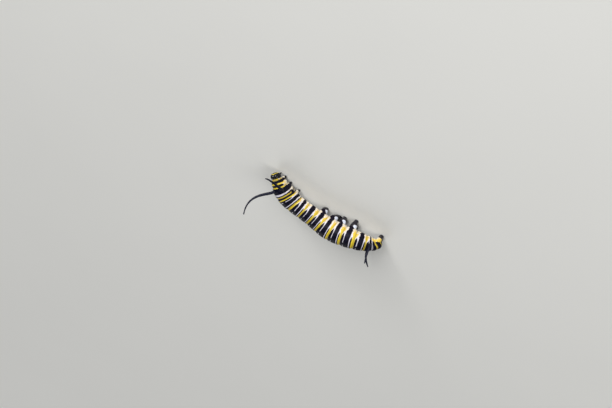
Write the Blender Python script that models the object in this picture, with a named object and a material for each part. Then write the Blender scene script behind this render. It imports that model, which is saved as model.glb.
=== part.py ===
"""A monarch butterfly larva in its fifth instar, life size, standing on flat feet on the plane z = 0.

The head points to +X and the back is up. The body follows one smooth spine, and every piece is placed
from that spine: ringed segments, six true legs, eight prolegs, two anal prolegs, four filaments, and a
head capsule with its mouthparts. Lengths are in millimetres and are turned to metres when a mesh is made.
"""

import math

import bmesh
import bpy
import numpy as np
from mathutils import Vector

MM = 0.001
MODEL_NAME = "monarch_larva"
GAP = 0.3
SIDES = {"left": 1, "right": -1}

# The spine, from the front of the head to the tail, and the shift that centres the part's box on the origin
SPINE = (
    (19.7, -6.05, 2.5), (18.2, -5.2, 2.9), (15.35, -2.95, 3.6), (11.05, -0.7, 4.15),
    (6.6, 0.2, 4.35), (2.1, 0.9, 4.5), (-2.45, 1.2, 5.0), (-7.05, 0.5, 5.1),
    (-11.55, -0.7, 4.95), (-15.2, -1.05, 4.15), (-17.5, -1.2, 3.15), (-18.95, -1.4, 1.6),
)
SPINE_SHIFT = (-1.314, 4.279, 0.0)
SPINE_SAMPLES = 4000
DIRECTION_STEP = 0.1

# Body segments, from the neck to the tail
HEAD_REACH = 2.0
SEGMENT_LENGTHS = {
    "thorax_1": 2.0, "thorax_2": 3.45, "thorax_3": 4.1,
    "abdomen_1": 3.5, "abdomen_2": 3.45, "abdomen_3": 3.45, "abdomen_4": 3.75, "abdomen_5": 3.8,
    "abdomen_6": 3.75, "abdomen_7": 3.1, "abdomen_8": 2.05, "abdomen_9": 1.2, "abdomen_10": 2.1,
}
FIRST_SEGMENT = "thorax_1"
LAST_SEGMENT = "abdomen_10"
# Half the body's width at distances behind the neck
GIRTH = (
    (0.0, 1.6), (1.2, 2.15), (3.8, 2.82), (6.5, 3.05), (12.5, 2.95), (17.5, 3.1),
    (23.5, 3.35), (28.5, 3.2), (32.0, 2.95), (35.0, 2.5), (37.3, 1.9), (38.6, 1.5), (40.0, 1.05),
)
BELLY_HEIGHT = 0.92
# How far the back is rolled over to the right side, in degrees, at distances behind the neck
ROLL = ((0.0, 15.0), (4.0, 15.0), (8.0, 9.0), (16.0, 6.0), (30.0, 6.0), (36.0, 8.0), (40.0, 4.0))
AROUND = 24

# One segment's bands from front to back: colour, share of its length and how far it swells
BANDS = (
    ("yellow", 0.07, 0.0), ("black", 0.17, 0.05), ("white", 0.07, 0.0), ("black", 0.35, 0.07),
    ("white", 0.1, 0.0), ("black", 0.06, 0.0), ("yellow", 0.18, 0.06),
)
CREASE = 0.05
SEGMENT_FOLD = 0.2
FOLD_WIDTH = 0.45
# Bands over this share swell, in segments over this length, and swell fully from the full length on
SWELLING_SHARE = 0.1
SHORT_SEGMENT = 2.5
FULL_SEGMENT = 3.0
# A band edge this near a segment's end makes no ring, because the end's own ring stands half a gap in
END_ROOM = 0.2
TAIL_ROUND = 1.2
TAIL_END_SHARE = 0.2

# Colours, as sRGB, with roughness
FINISHES = {
    "black": ("0A0A14", 0.35), "white": ("E2DCD2", 0.5), "yellow": ("E8C83C", 0.5),
    "gloss_black": ("06070F", 0.15), "filament_black": ("0B0C16", 0.4),
}
SHARP_ANGLE = 40.0

# Head capsule, in its own frame: forward, left and up
HEAD_HALF_WIDTH = 1.65
HEAD_HALF_HEIGHT = 1.6
HEAD_DEPTH_FRONT = 1.15
HEAD_DEPTH_BACK = 1.3
HEAD_CENTRE = 0.8
HEAD_DROP = 0.25
HEAD_TILT = 20.0
HEAD_SEGMENTS = 28
HEAD_RINGS = 16
HEAD_CLEFT = 0.14
HEAD_CLEFT_WIDTH = 0.28
HEAD_CLEFT_START = -0.35
ORAL_PLANE = -1.15
# Small eyes on each side: degrees round from the face, and degrees up
STEMMATA = ((58.0, -2.0), (58.0, -14.0), (60.0, -26.0), (66.0, -37.0), (78.0, -34.0), (56.0, -48.0))
STEMMA_RADIUS = 0.13
MERGE = 1e-6

# Mouthparts: forward, left, half depth, half width at the root, length, share of the width left at the end
MOUTHPARTS = {
    "labrum": (0.74, 0.0, 0.18, 0.5, 0.42, 0.75),
    "mandible_left": (0.06, 0.46, 0.2, 0.3, 0.48, 0.6),
    "mandible_right": (0.06, -0.46, 0.2, 0.3, 0.48, 0.6),
    "labium": (-0.62, 0.0, 0.18, 0.5, 0.45, 0.5),
    "antenna_left": (0.3, 1.12, 0.25, 0.25, 0.55, 0.45),
    "antenna_right": (0.3, -1.12, 0.25, 0.25, 0.55, 0.45),
}
MOUTHPART_SIDES = 10

# True legs: place behind the segment's middle, foot behind the hip, spread on the right and on the left
TRUE_LEGS = {
    "thorax_1": (0.1, 0.8, 0.45, 1.35), "thorax_2": (0.2, 0.9, 0.5, 1.6), "thorax_3": (0.2, 1.0, 0.8, 1.5),
}
TRUE_HIP_ANGLE = 140.0
TRUE_ROOT = 0.62
TRUE_OFFSET = 0.42
# Distance down the leg as a share of its length, and half thickness
TRUE_RINGS = ((0.0, 0.56), (0.2, 0.52), (0.28, 0.42), (0.55, 0.4), (0.62, 0.32), (0.88, 0.27), (1.0, 0.16))
TRUE_BULGE = 0.35

# Prolegs, as the true legs
PROLEGS = {
    "abdomen_3": (0.0, 0.7, 1.2, 1.5), "abdomen_4": (0.2, 1.9, 1.0, 1.5),
    "abdomen_5": (0.0, 0.0, 1.5, 1.4), "abdomen_6": (0.0, 0.1, 2.3, 1.3),
}
PROLEG_HIP_ANGLE = 142.0
PROLEG_ROOT = 1.12
PROLEG_OFFSET = 0.72
PROLEG_RINGS = ((0.0, 1.05), (0.3, 0.95), (0.6, 0.72), (0.8, 0.62), (0.93, 0.68), (1.0, 0.62))
ANAL_PROLEG = (0.35, -0.35, 0.95, 0.95)
ANAL_HIP_ANGLE = 118.0
ANAL_ROOT = 0.72
ANAL_OFFSET = 0.5
ANAL_RINGS = ((0.0, 0.7), (0.3, 0.74), (0.6, 0.7), (0.85, 0.66), (1.0, 0.58))
LEG_SIDES = 12
STUB_DEPTH = 0.9
STUB_SWELL = 1.06

# Filaments: segment, place behind its front, angle from the back's middle line, thickness, and the offsets
# from the root of two control points and of the tip, which bend the path
FILAMENTS = {
    "front_filament_left": (
        "thorax_2", 0.9, 35.0, 0.92, (3.4, 1.0, 1.9), (6.8, 2.4, 3.9), (4.5, 4.0, 9.8),
    ),
    "front_filament_right": (
        "thorax_2", 0.9, -35.0, 0.92, (1.2, -3.4, 2.6), (4.6, -6.6, 3.0), (5.9, -8.2, 4.9),
    ),
    "rear_filament_left": (
        "abdomen_8", 1.3, 48.0, 0.7, (-0.2, 0.3, 1.9), (-1.4, 0.2, 3.6), (-2.5, -0.6, 5.0),
    ),
    "rear_filament_right": (
        "abdomen_8", 1.3, -48.0, 0.7, (-0.1, -0.5, 2.2), (-0.6, 0.4, 4.4), (-1.3, 0.9, 6.2),
    ),
}
FILAMENT_START = 0.6
FILAMENT_TIP = 0.32
FILAMENT_TAPER = 1.5
FILAMENT_END_SHARE = 0.6
FILAMENT_POINTS = 14
FILAMENT_RESOLUTION = 2
SOCKET_RADIUS = 0.5
SOCKET_FLARE = 0.1
SOCKET_STAND = 0.25
SOCKET_DEPTH = 1.0
SOCKET_SIDES = 10

# Breathing holes on the flank of the first thoracic and the first eight abdominal segments
SPIRACLE_SEGMENTS = ("thorax_1", *(f"abdomen_{number}" for number in range(1, 9)))
SPIRACLE_ANGLE = 98.0
SPIRACLE_HALF_LENGTH = 0.16
SPIRACLE_HALF_HEIGHT = 0.24
SPIRACLE_STAND = 0.07
SPIRACLE_DEPTH = 0.5
SPIRACLE_TOP_SHARE = 0.75
SPIRACLE_SIDES = 8


def clear_scene():
    for obj in list(bpy.data.objects):
        bpy.data.objects.remove(obj, do_unlink=True)


def linear(hex_colour):
    """The sRGB hex colour as linear RGBA."""
    channels = [int(hex_colour[i:i + 2], 16) / 255 for i in (0, 2, 4)]
    return [c / 12.92 if c <= 0.04045 else ((c + 0.055) / 1.055) ** 2.4 for c in channels] + [1.0]


def make_material(node_name, finish):
    colour, roughness = FINISHES[finish]
    material = bpy.data.materials.new(f"{node_name}_{finish}")
    material.use_nodes = True
    shader = material.node_tree.nodes["Principled BSDF"]
    shader.inputs["Base Color"].default_value = linear(colour)
    shader.inputs["Roughness"].default_value = roughness
    shader.inputs["Metallic"].default_value = 0.0
    return material


def natural_spline(points, count):
    """Count points on the natural cubic spline through the given points, its knots by root of chord."""
    points = np.array(points, float)
    knots = np.concatenate([[0], np.cumsum(np.sqrt(np.linalg.norm(np.diff(points, axis=0), axis=1)))])
    steps = np.diff(knots)
    slopes = np.diff(points, axis=0) / steps[:, None]
    system = np.eye(len(points))
    target = np.zeros_like(points)
    for i in range(1, len(points) - 1):
        system[i, i - 1:i + 2] = steps[i - 1], 2 * (steps[i - 1] + steps[i]), steps[i]
        target[i] = 6 * (slopes[i] - slopes[i - 1])
    bend = np.linalg.solve(system, target)
    at = np.linspace(0, knots[-1], count)
    k = np.clip(np.searchsorted(knots, at) - 1, 0, len(steps) - 1)
    step = steps[k][:, None]
    after = (knots[k + 1] - at)[:, None]
    before = (at - knots[k])[:, None]
    cubic = (bend[k] * after ** 3 + bend[k + 1] * before ** 3) / (6 * step)
    from_start = (points[k] / step - bend[k] * step / 6) * after
    from_end = (points[k + 1] / step - bend[k + 1] * step / 6) * before
    return cubic + from_start + from_end


class Body:
    """The body's middle line and girth, by distance behind the neck."""

    def __init__(self):
        self.line = natural_spline(np.array(SPINE) + np.array(SPINE_SHIFT), SPINE_SAMPLES)
        run = np.linalg.norm(np.diff(self.line, axis=0), axis=1)
        self.distance = np.concatenate([[0], np.cumsum(run)]) - HEAD_REACH
        self.girth_at, self.girth = natural_spline(GIRTH, SPINE_SAMPLES).T
        ends = np.concatenate([[0], np.cumsum(list(SEGMENT_LENGTHS.values()))])
        self.spans = dict(zip(SEGMENT_LENGTHS, zip(ends[:-1], ends[1:])))

    def middle(self, segment):
        return sum(self.spans[segment]) / 2

    def point(self, distance):
        return Vector([float(np.interp(distance, self.distance, self.line[:, i])) for i in range(3)])

    def axes(self, distance):
        """Forward, left and back-side directions there, with the body's roll."""
        forward = (self.point(distance - DIRECTION_STEP) - self.point(distance + DIRECTION_STEP)).normalized()
        left = Vector((0, 0, 1)).cross(forward).normalized()
        up = forward.cross(left)
        roll = math.radians(np.interp(distance, *zip(*ROLL)))
        rolled_left = left * math.cos(roll) + up * math.sin(roll)
        rolled_up = up * math.cos(roll) - left * math.sin(roll)
        return forward, rolled_left, rolled_up

    def radius(self, distance):
        return float(np.interp(distance, self.girth_at, self.girth))

    def section(self, radius, angle):
        """Offsets to the left and to the back side at an angle from the back's middle line."""
        height = radius * math.cos(angle)
        return radius * math.sin(angle), height if height > 0 else height * BELLY_HEIGHT

    def surface(self, distance, degrees):
        """The point on the body's side there, and the direction that it faces."""
        angle = math.radians(degrees)
        _, left, up = self.axes(distance)
        aside, above = self.section(self.radius(distance), angle)
        facing = (left * math.sin(angle) + up * math.cos(angle)).normalized()
        return self.point(distance) + left * aside + up * above, facing


def add_object(name, data):
    obj = bpy.data.objects.new(name, data)
    bpy.data.collections[MODEL_NAME].objects.link(obj)
    return obj


def loft(name, rings):
    """A closed body through rings of equal count, with flat ends."""
    count = len(rings[0])
    last = (len(rings) - 1) * count
    faces = [
        (start + i, start + (i + 1) % count, start + count + (i + 1) % count, start + count + i)
        for start in range(0, last, count)
        for i in range(count)
    ]
    faces += [tuple(range(count)), tuple(range(last, last + count))]
    data = bpy.data.meshes.new(name)
    data.from_pydata([point * MM for ring in rings for point in ring], [], faces)
    mesh = bmesh.new()
    mesh.from_mesh(data)
    bmesh.ops.recalc_face_normals(mesh, faces=mesh.faces)
    mesh.to_mesh(data)
    mesh.free()
    return add_object(name, data)


def round_ring(centre, across, along, half_across, half_along, count):
    """A ring of points round a centre, elliptical in the plane of two directions."""
    turns = [2 * math.pi * i / count for i in range(count)]
    return [centre + across * (half_across * math.cos(t)) + along * (half_along * math.sin(t)) for t in turns]


def segment_profile(name, start, end):
    """Distances along one segment and how far each ring stands out, from its bands and its end folds."""
    length = end - start
    fullness = min(1.0, length / FULL_SEGMENT)
    places = [(0.0, -CREASE)]
    edge = 0.0
    for _, share, swell in BANDS:
        if share > SWELLING_SHARE and length > SHORT_SEGMENT:
            places.append((edge + share / 2, swell))
        edge += share
        if min(edge, 1 - edge) * length > END_ROOM:
            places.append((edge, -CREASE))
    places.append((1.0, -CREASE))
    profile = []
    for place, swell in places:
        fold = 0.0
        if name != FIRST_SEGMENT:
            fold += math.exp(-(place * length / FOLD_WIDTH) ** 2)
        if name != LAST_SEGMENT:
            fold += math.exp(-((1 - place) * length / FOLD_WIDTH) ** 2)
        profile.append((start + place * length, swell * fullness - SEGMENT_FOLD * fold))
    return profile


def body_ring(body, distance, radius, shift, lean):
    """One ring of a segment, moved back by shift, its back side leaning forward by the given slope."""
    forward, left, up = body.axes(distance)
    centre = body.point(distance) - forward * shift
    ring = []
    for i in range(AROUND):
        aside, above = body.section(radius, 2 * math.pi * i / AROUND)
        ring.append(centre + left * aside + up * above + forward * (above * lean))
    return ring


def tail_share(to_end):
    """How much of the girth is left near the rounded tail."""
    round_off = max(0.0, 1 - to_end / TAIL_ROUND)
    return max(TAIL_END_SHARE, math.sqrt(max(0.0, 1 - round_off ** 2)))


def make_segment(body, name):
    """One ringed segment between two flat ends, half a gap short at each."""
    start, end = body.spans[name]
    profile = segment_profile(name, start, end)
    rings = []
    for place, (distance, swell) in enumerate(profile):
        shift = GAP / 2 if place == 0 else 0.0
        radius = body.radius(distance) + swell
        if name == LAST_SEGMENT:
            radius *= tail_share(end - distance)
        elif place == len(profile) - 1:
            shift = -GAP / 2
        lean = max(0.0, 1 - distance / SEGMENT_LENGTHS[FIRST_SEGMENT]) * math.tan(math.radians(HEAD_TILT))
        rings.append(body_ring(body, distance, radius, shift, lean))
    obj = loft(name, rings)
    colour_bands(obj, name, profile, start, end)
    return obj


def colour_bands(obj, name, profile, start, end):
    """Gives each ring of faces its band's colour."""
    slots = {"black": 0, "white": 1, "yellow": 2}
    for finish in slots:
        obj.data.materials.append(make_material(name, finish))
    edges = np.cumsum([share for _, share, _ in BANDS])
    for k in range(len(profile) - 1):
        middle = (profile[k][0] + profile[k + 1][0]) / 2
        band = min(int(np.searchsorted(edges, (middle - start) / (end - start))), len(BANDS) - 1)
        for i in range(AROUND):
            obj.data.polygons[k * AROUND + i].material_index = slots[BANDS[band][0]]


def fuse(obj, extras):
    """Joins closed meshes to the object by one Boolean union, and keeps its largest surface."""
    others = bpy.data.collections.new(f"{obj.name}_extras")
    for extra in extras:
        bpy.data.collections[MODEL_NAME].objects.unlink(extra)
        others.objects.link(extra)
    union = obj.modifiers.new("union", "BOOLEAN")
    union.operation = "UNION"
    union.operand_type = "COLLECTION"
    union.collection = others
    union.solver = "MANIFOLD"
    bpy.context.view_layer.update()
    graph = bpy.context.evaluated_depsgraph_get()
    whole = obj.evaluated_get(graph)
    joined = bpy.data.meshes.new_from_object(whole, preserve_all_data_layers=True, depsgraph=graph)
    obj.modifiers.clear()
    obj.data = joined
    for extra in extras:
        bpy.data.objects.remove(extra, do_unlink=True)
    bpy.data.collections.remove(others)
    keep_largest(obj)


def keep_largest(obj):
    """Deletes every loose surface but the one with most faces."""
    mesh = bmesh.new()
    mesh.from_mesh(obj.data)
    unseen = set(mesh.faces)
    islands = []
    while unseen:
        waiting = [unseen.pop()]
        island = set(waiting)
        while waiting:
            near = {other for edge in waiting.pop().edges for other in edge.link_faces} & unseen
            unseen -= near
            island |= near
            waiting.extend(near)
        islands.append(island)
    islands.sort(key=len)
    dropped = {vertex for island in islands[:-1] for face in island for vertex in face.verts}
    bmesh.ops.delete(mesh, geom=list(dropped), context="VERTS")
    mesh.to_mesh(obj.data)
    mesh.free()


def leg_path(body, segment, place, side, hip_angle):
    """Hip on the body's side, foot on the floor and the level direction forward, for side 1 or -1."""
    behind, foot_behind, right_spread, left_spread = place
    distance = body.middle(segment) + behind
    hip, _ = body.surface(distance, side * hip_angle)
    forward, _, _ = body.axes(distance)
    level = Vector((forward.x, forward.y, 0)).normalized()
    left = Vector((-level.y, level.x, 0))
    middle = body.point(distance)
    spread = left_spread if side > 0 else right_spread
    foot = Vector((middle.x, middle.y, 0)) - level * foot_behind + left * (side * spread)
    return hip, foot, level


def leg_pieces(name, path, rings, root, offset, bulge):
    """The flat-ended stub that joins the segment, and the leg, from a gap past it down to the floor."""
    hip, foot, level = path
    axis = (foot - hip).normalized()
    across = axis.cross(level).normalized()
    along = across.cross(axis).normalized()
    out = Vector((across.x, across.y, 0)).normalized()
    bow = out * (bulge if out.dot(hip - foot) > 0 else -bulge)
    stub = loft(f"{name}_stub", [
        round_ring(hip + axis * at, across, along, root * wide, root * wide, LEG_SIDES)
        for at, wide in ((-STUB_DEPTH, 1.0), (0.0, STUB_SWELL), (offset, 1.0))
    ])
    top = hip + axis * (offset + GAP)
    leg_rings = []
    for share, half in rings:
        level_share = share ** 2
        ring_across = (across * (1 - level_share) + out * level_share).normalized()
        ring_along = (along * (1 - level_share) + level * level_share).normalized()
        centre = top.lerp(foot, share) + bow * math.sin(math.pi * share)
        leg_rings.append(round_ring(centre, ring_across, ring_along, half, half, LEG_SIDES))
    leg = loft(name, leg_rings)
    leg.data.materials.append(make_material(name, "gloss_black"))
    return stub


def make_legs(body, extras):
    """All sixteen legs. The stubs go to the extras of their segments."""
    for side_name, side in SIDES.items():
        for number, (segment, place) in enumerate(TRUE_LEGS.items(), 1):
            path = leg_path(body, segment, place, side, TRUE_HIP_ANGLE)
            name = f"leg_{number}_{side_name}"
            extras[segment].append(leg_pieces(name, path, TRUE_RINGS, TRUE_ROOT, TRUE_OFFSET, TRUE_BULGE))
        for segment, place in PROLEGS.items():
            path = leg_path(body, segment, place, side, PROLEG_HIP_ANGLE)
            name = f"proleg_{segment[-1]}_{side_name}"
            extras[segment].append(leg_pieces(name, path, PROLEG_RINGS, PROLEG_ROOT, PROLEG_OFFSET, 0.0))
        path = leg_path(body, LAST_SEGMENT, ANAL_PROLEG, side, ANAL_HIP_ANGLE)
        name = f"anal_proleg_{side_name}"
        extras[LAST_SEGMENT].append(leg_pieces(name, path, ANAL_RINGS, ANAL_ROOT, ANAL_OFFSET, 0.0))


def make_filament(body, name):
    """A tapered tube, as a curve whose ends are filled, a gap above its flat-topped socket."""
    segment, behind, degrees, thickness, first, second, tip = FILAMENTS[name]
    root, facing = body.surface(body.spans[segment][0] + behind, degrees)
    axis = (facing + Vector(first).normalized()).normalized()
    across = axis.orthogonal().normalized()
    along = axis.cross(across)
    socket = loft(f"{name}_socket", [
        round_ring(root + axis * at, across, along, half, half, SOCKET_SIDES)
        for at, half in ((-SOCKET_DEPTH, SOCKET_RADIUS + SOCKET_FLARE), (SOCKET_STAND, SOCKET_RADIUS))
    ])
    begin = root + axis * (SOCKET_STAND + GAP)
    leave = begin + axis * (Vector(first).length * FILAMENT_START)
    curve = bpy.data.curves.new(name, "CURVE")
    curve.dimensions = "3D"
    curve.bevel_depth = thickness / 2 * MM
    curve.bevel_resolution = FILAMENT_RESOLUTION
    curve.use_fill_caps = True
    spline = curve.splines.new("POLY")
    spline.points.add(FILAMENT_POINTS - 1)
    for i, point in enumerate(spline.points):
        t = i / (FILAMENT_POINTS - 1)
        place = begin * (1 - t) ** 3 + leave * (3 * t * (1 - t) ** 2)
        place += (root + Vector(second)) * (3 * t * t * (1 - t)) + (root + Vector(tip)) * t ** 3
        point.co = (*(place * MM), 1.0)
        point.radius = 1 + (FILAMENT_TIP / thickness - 1) * t ** FILAMENT_TAPER
    spline.points[-1].radius *= FILAMENT_END_SHARE
    curve.materials.append(make_material(name, "filament_black"))
    add_object(name, curve)
    return socket


def make_spiracle(body, segment, side):
    """A low oval plate on the flank."""
    centre, facing = body.surface(body.middle(segment), side * SPIRACLE_ANGLE)
    forward, _, _ = body.axes(body.middle(segment))
    up = facing.cross(forward).normalized()
    levels = ((-SPIRACLE_DEPTH, 1.0), (0.0, 1.0), (SPIRACLE_STAND, SPIRACLE_TOP_SHARE))
    return loft(f"{segment}_spiracle_{side}", [
        round_ring(
            centre + facing * at, forward, up,
            SPIRACLE_HALF_LENGTH * wide, SPIRACLE_HALF_HEIGHT * wide, SPIRACLE_SIDES,
        )
        for at, wide in levels
    ])


def head_axes(body):
    """Centre, forward, left and up of the head, which tilts down from the neck."""
    forward, left, up = body.axes(0.0)
    tilt = math.radians(HEAD_TILT)
    centre = body.point(0.0) + forward * HEAD_CENTRE - up * HEAD_DROP
    tilted_forward = forward * math.cos(tilt) - up * math.sin(tilt)
    tilted_up = up * math.cos(tilt) + forward * math.sin(tilt)
    return centre, tilted_forward, left, tilted_up


def head_point(azimuth, height):
    """Forward, left and up offsets on the head capsule, by angle round from the face and angle up."""
    forward = math.cos(height) * math.cos(azimuth)
    left = math.cos(height) * math.sin(azimuth)
    up = math.sin(height)
    depth = HEAD_DEPTH_FRONT if forward > 0 else HEAD_DEPTH_BACK
    place = Vector((forward * depth, left * HEAD_HALF_WIDTH, up * HEAD_HALF_HEIGHT))
    high = max(0.0, up - HEAD_CLEFT_START) / (1 - HEAD_CLEFT_START)
    return place * (1 - HEAD_CLEFT * high * math.exp(-(place.y / HEAD_CLEFT_WIDTH) ** 2))


def make_head(body):
    """A two-lobed capsule, cut flat at the neck and at the mouth, with six small eyes on each side."""
    centre, forward, left, up = head_axes(body)

    def placed(azimuth, height):
        offset = head_point(azimuth, height)
        return centre + forward * offset.x + left * offset.y + up * offset.z

    mesh = bmesh.new()
    bmesh.ops.create_uvsphere(mesh, u_segments=HEAD_SEGMENTS, v_segments=HEAD_RINGS, radius=1)
    for vertex in mesh.verts:
        azimuth = math.atan2(vertex.co.y, vertex.co.x)
        vertex.co = placed(azimuth, math.asin(max(-1.0, min(1.0, vertex.co.z)))) * MM
    neck = body.point(0.0) + forward * (GAP / 2)
    for point, away in ((neck, -forward), (centre + up * ORAL_PLANE, -up)):
        cut = bmesh.ops.bisect_plane(
            mesh, geom=mesh.verts[:] + mesh.edges[:] + mesh.faces[:],
            plane_co=point * MM, plane_no=away, clear_outer=True,
        )
        edges = [item for item in cut["geom_cut"] if isinstance(item, bmesh.types.BMEdge)]
        bmesh.ops.contextual_create(mesh, geom=edges)
    bmesh.ops.remove_doubles(mesh, verts=mesh.verts, dist=MERGE)
    bmesh.ops.recalc_face_normals(mesh, faces=mesh.faces)
    data = bpy.data.meshes.new("head")
    mesh.to_mesh(data)
    mesh.free()
    head = add_object("head", data)
    stemmata = []
    for side_name, side in SIDES.items():
        for number, (azimuth, height) in enumerate(STEMMATA):
            spot = placed(side * math.radians(azimuth), math.radians(height))
            stemmata.append(make_stemma(f"stemma_{side_name}_{number}", spot))
    fuse(head, stemmata)
    head.data.materials.append(make_material("head", "gloss_black"))


def make_stemma(name, spot):
    mesh = bmesh.new()
    bmesh.ops.create_icosphere(mesh, subdivisions=1, radius=STEMMA_RADIUS * MM)
    bmesh.ops.translate(mesh, verts=mesh.verts, vec=spot * MM)
    data = bpy.data.meshes.new(name)
    mesh.to_mesh(data)
    mesh.free()
    return add_object(name, data)


def make_mouthparts(body):
    """Small tapered pieces that hang a gap below the flat of the mouth."""
    centre, forward, left, up = head_axes(body)
    for name, (ahead, aside, half_depth, half_width, length, end_share) in MOUTHPARTS.items():
        root = centre + forward * ahead + left * aside + up * (ORAL_PLANE - GAP)
        obj = loft(name, [
            round_ring(
                root - up * (length * down), forward, left,
                half_depth * wide, half_width * wide, MOUTHPART_SIDES,
            )
            for down, wide in ((0.0, 1.0), (0.5, (1 + end_share) / 2), (1.0, end_share))
        ])
        obj.data.materials.append(make_material(name, "gloss_black"))


def shade_round(obj):
    if obj.type == "MESH":
        obj.data.shade_smooth()
        obj.data.set_sharp_from_angle(angle=math.radians(SHARP_ANGLE))


def main():
    clear_scene()
    bpy.context.scene.collection.children.link(bpy.data.collections.new(MODEL_NAME))
    body = Body()
    extras = {name: [] for name in SEGMENT_LENGTHS}
    make_legs(body, extras)
    for name, (segment, *_) in FILAMENTS.items():
        extras[segment].append(make_filament(body, name))
    for segment in SPIRACLE_SEGMENTS:
        for side in SIDES.values():
            extras[segment].append(make_spiracle(body, segment, side))
    for segment in SEGMENT_LENGTHS:
        obj = make_segment(body, segment)
        if extras[segment]:
            fuse(obj, extras[segment])
    make_head(body)
    make_mouthparts(body)
    for obj in bpy.data.collections[MODEL_NAME].objects:
        shade_round(obj)


main()
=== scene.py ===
"""The looks of a life-size monarch larva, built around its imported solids.

One banded skin stands for the body segments and the ten prolegs. The head capsule, mouthparts, small eyes,
true legs, filaments, breathing rings, foot hooks and bristles are pieces of their own. Every shape is a
surface worked out with numpy from the spine, girth and roll of the part. Lengths are in millimetres until
build_mesh turns them to metres.
"""

import functools
import math

import bpy
import mathutils
import numpy as np
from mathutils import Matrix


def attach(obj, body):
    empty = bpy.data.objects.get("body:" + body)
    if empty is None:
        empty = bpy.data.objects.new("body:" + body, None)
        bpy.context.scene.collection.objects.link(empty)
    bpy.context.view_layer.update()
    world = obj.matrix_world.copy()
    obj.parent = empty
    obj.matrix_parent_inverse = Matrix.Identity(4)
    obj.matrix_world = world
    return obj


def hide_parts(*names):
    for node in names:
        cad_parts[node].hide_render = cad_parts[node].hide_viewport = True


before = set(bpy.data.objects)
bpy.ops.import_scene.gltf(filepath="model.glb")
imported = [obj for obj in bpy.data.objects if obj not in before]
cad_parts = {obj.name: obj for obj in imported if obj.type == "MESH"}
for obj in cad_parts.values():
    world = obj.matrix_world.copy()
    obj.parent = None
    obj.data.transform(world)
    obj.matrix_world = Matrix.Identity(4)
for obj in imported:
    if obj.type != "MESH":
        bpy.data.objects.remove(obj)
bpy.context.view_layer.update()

MM = 0.001
SIDES = {"left": 1, "right": -1}
UP = np.array([0.0, 0.0, 1.0])

# The spine and girth of the part: its middle line from head to tail, and half its width behind the neck
SPINE = (
    (19.7, -6.05, 2.5), (18.2, -5.2, 2.9), (15.35, -2.95, 3.6), (11.05, -0.7, 4.15),
    (6.6, 0.2, 4.35), (2.1, 0.9, 4.5), (-2.45, 1.2, 5.0), (-7.05, 0.5, 5.1),
    (-11.55, -0.7, 4.95), (-15.2, -1.05, 4.15), (-17.5, -1.2, 3.15), (-18.95, -1.4, 1.6),
)
SPINE_SHIFT = (-1.314, 4.279, 0.0)
SPINE_SAMPLES = 4000
SPINE_REACH = 4.0
DIRECTION_STEP = 0.1
HEAD_REACH = 2.0
SEGMENT_LENGTHS = {
    "thorax_1": 2.0, "thorax_2": 3.45, "thorax_3": 4.1,
    "abdomen_1": 3.5, "abdomen_2": 3.45, "abdomen_3": 3.45, "abdomen_4": 3.75, "abdomen_5": 3.8,
    "abdomen_6": 3.75, "abdomen_7": 3.1, "abdomen_8": 2.05, "abdomen_9": 1.2, "abdomen_10": 2.1,
}
SEGMENT_ENDS = np.concatenate([[0.0], np.cumsum(list(SEGMENT_LENGTHS.values()))])
SPANS = dict(zip(SEGMENT_LENGTHS, zip(SEGMENT_ENDS[:-1], SEGMENT_ENDS[1:])))
BODY_LENGTH = SEGMENT_ENDS[-1]
GIRTH = (
    (0.0, 1.6), (1.2, 2.15), (3.8, 2.82), (6.5, 3.05), (12.5, 2.95), (17.5, 3.1),
    (23.5, 3.35), (28.5, 3.2), (32.0, 2.95), (35.0, 2.5), (37.3, 1.9), (38.6, 1.5), (40.0, 1.05),
)
BELLY_HEIGHT = 0.92
ROLL = ((0.0, 15.0), (4.0, 15.0), (8.0, 9.0), (16.0, 6.0), (30.0, 6.0), (36.0, 8.0), (40.0, 4.0))
TAIL_ROUND = 1.2

# How the skin closes inside the head: where the rounding starts behind the tilted neck, and over what length
HEAD_TILT = 20.0
NECK_START = 0.25
NECK_ROUND = 0.55

# Legs of the part: place behind the segment's middle, foot behind the hip, spread on the right and the left
TRUE_LEGS = {
    "thorax_1": (0.1, 0.8, 0.45, 1.35), "thorax_2": (0.2, 0.9, 0.5, 1.6), "thorax_3": (0.2, 1.0, 0.8, 1.5),
}
TRUE_HIP_ANGLE = 140.0
TRUE_ROOT = 0.62
TRUE_OFFSET = 0.42
TRUE_BULGE = 0.35
PROLEGS = {
    "abdomen_3": (0.0, 0.7, 1.2, 1.5), "abdomen_4": (0.2, 1.9, 1.0, 1.5),
    "abdomen_5": (0.0, 0.0, 1.5, 1.4), "abdomen_6": (0.0, 0.1, 2.3, 1.3),
}
PROLEG_HIP_ANGLE = 142.0
PROLEG_ROOT = 1.12
PROLEG_OFFSET = 0.72
PROLEG_RINGS = ((0.0, 1.05), (0.3, 0.95), (0.6, 0.72), (0.8, 0.62), (0.93, 0.68), (1.0, 0.62))
ANAL_PROLEG = (0.35, -0.35, 0.95, 0.95)
ANAL_HIP_ANGLE = 118.0
ANAL_ROOT = 0.72
ANAL_OFFSET = 0.5
ANAL_RINGS = ((0.0, 0.7), (0.3, 0.74), (0.6, 0.7), (0.85, 0.66), (1.0, 0.58))
GAP = 0.3
STUB_DEPTH = 0.9

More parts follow.
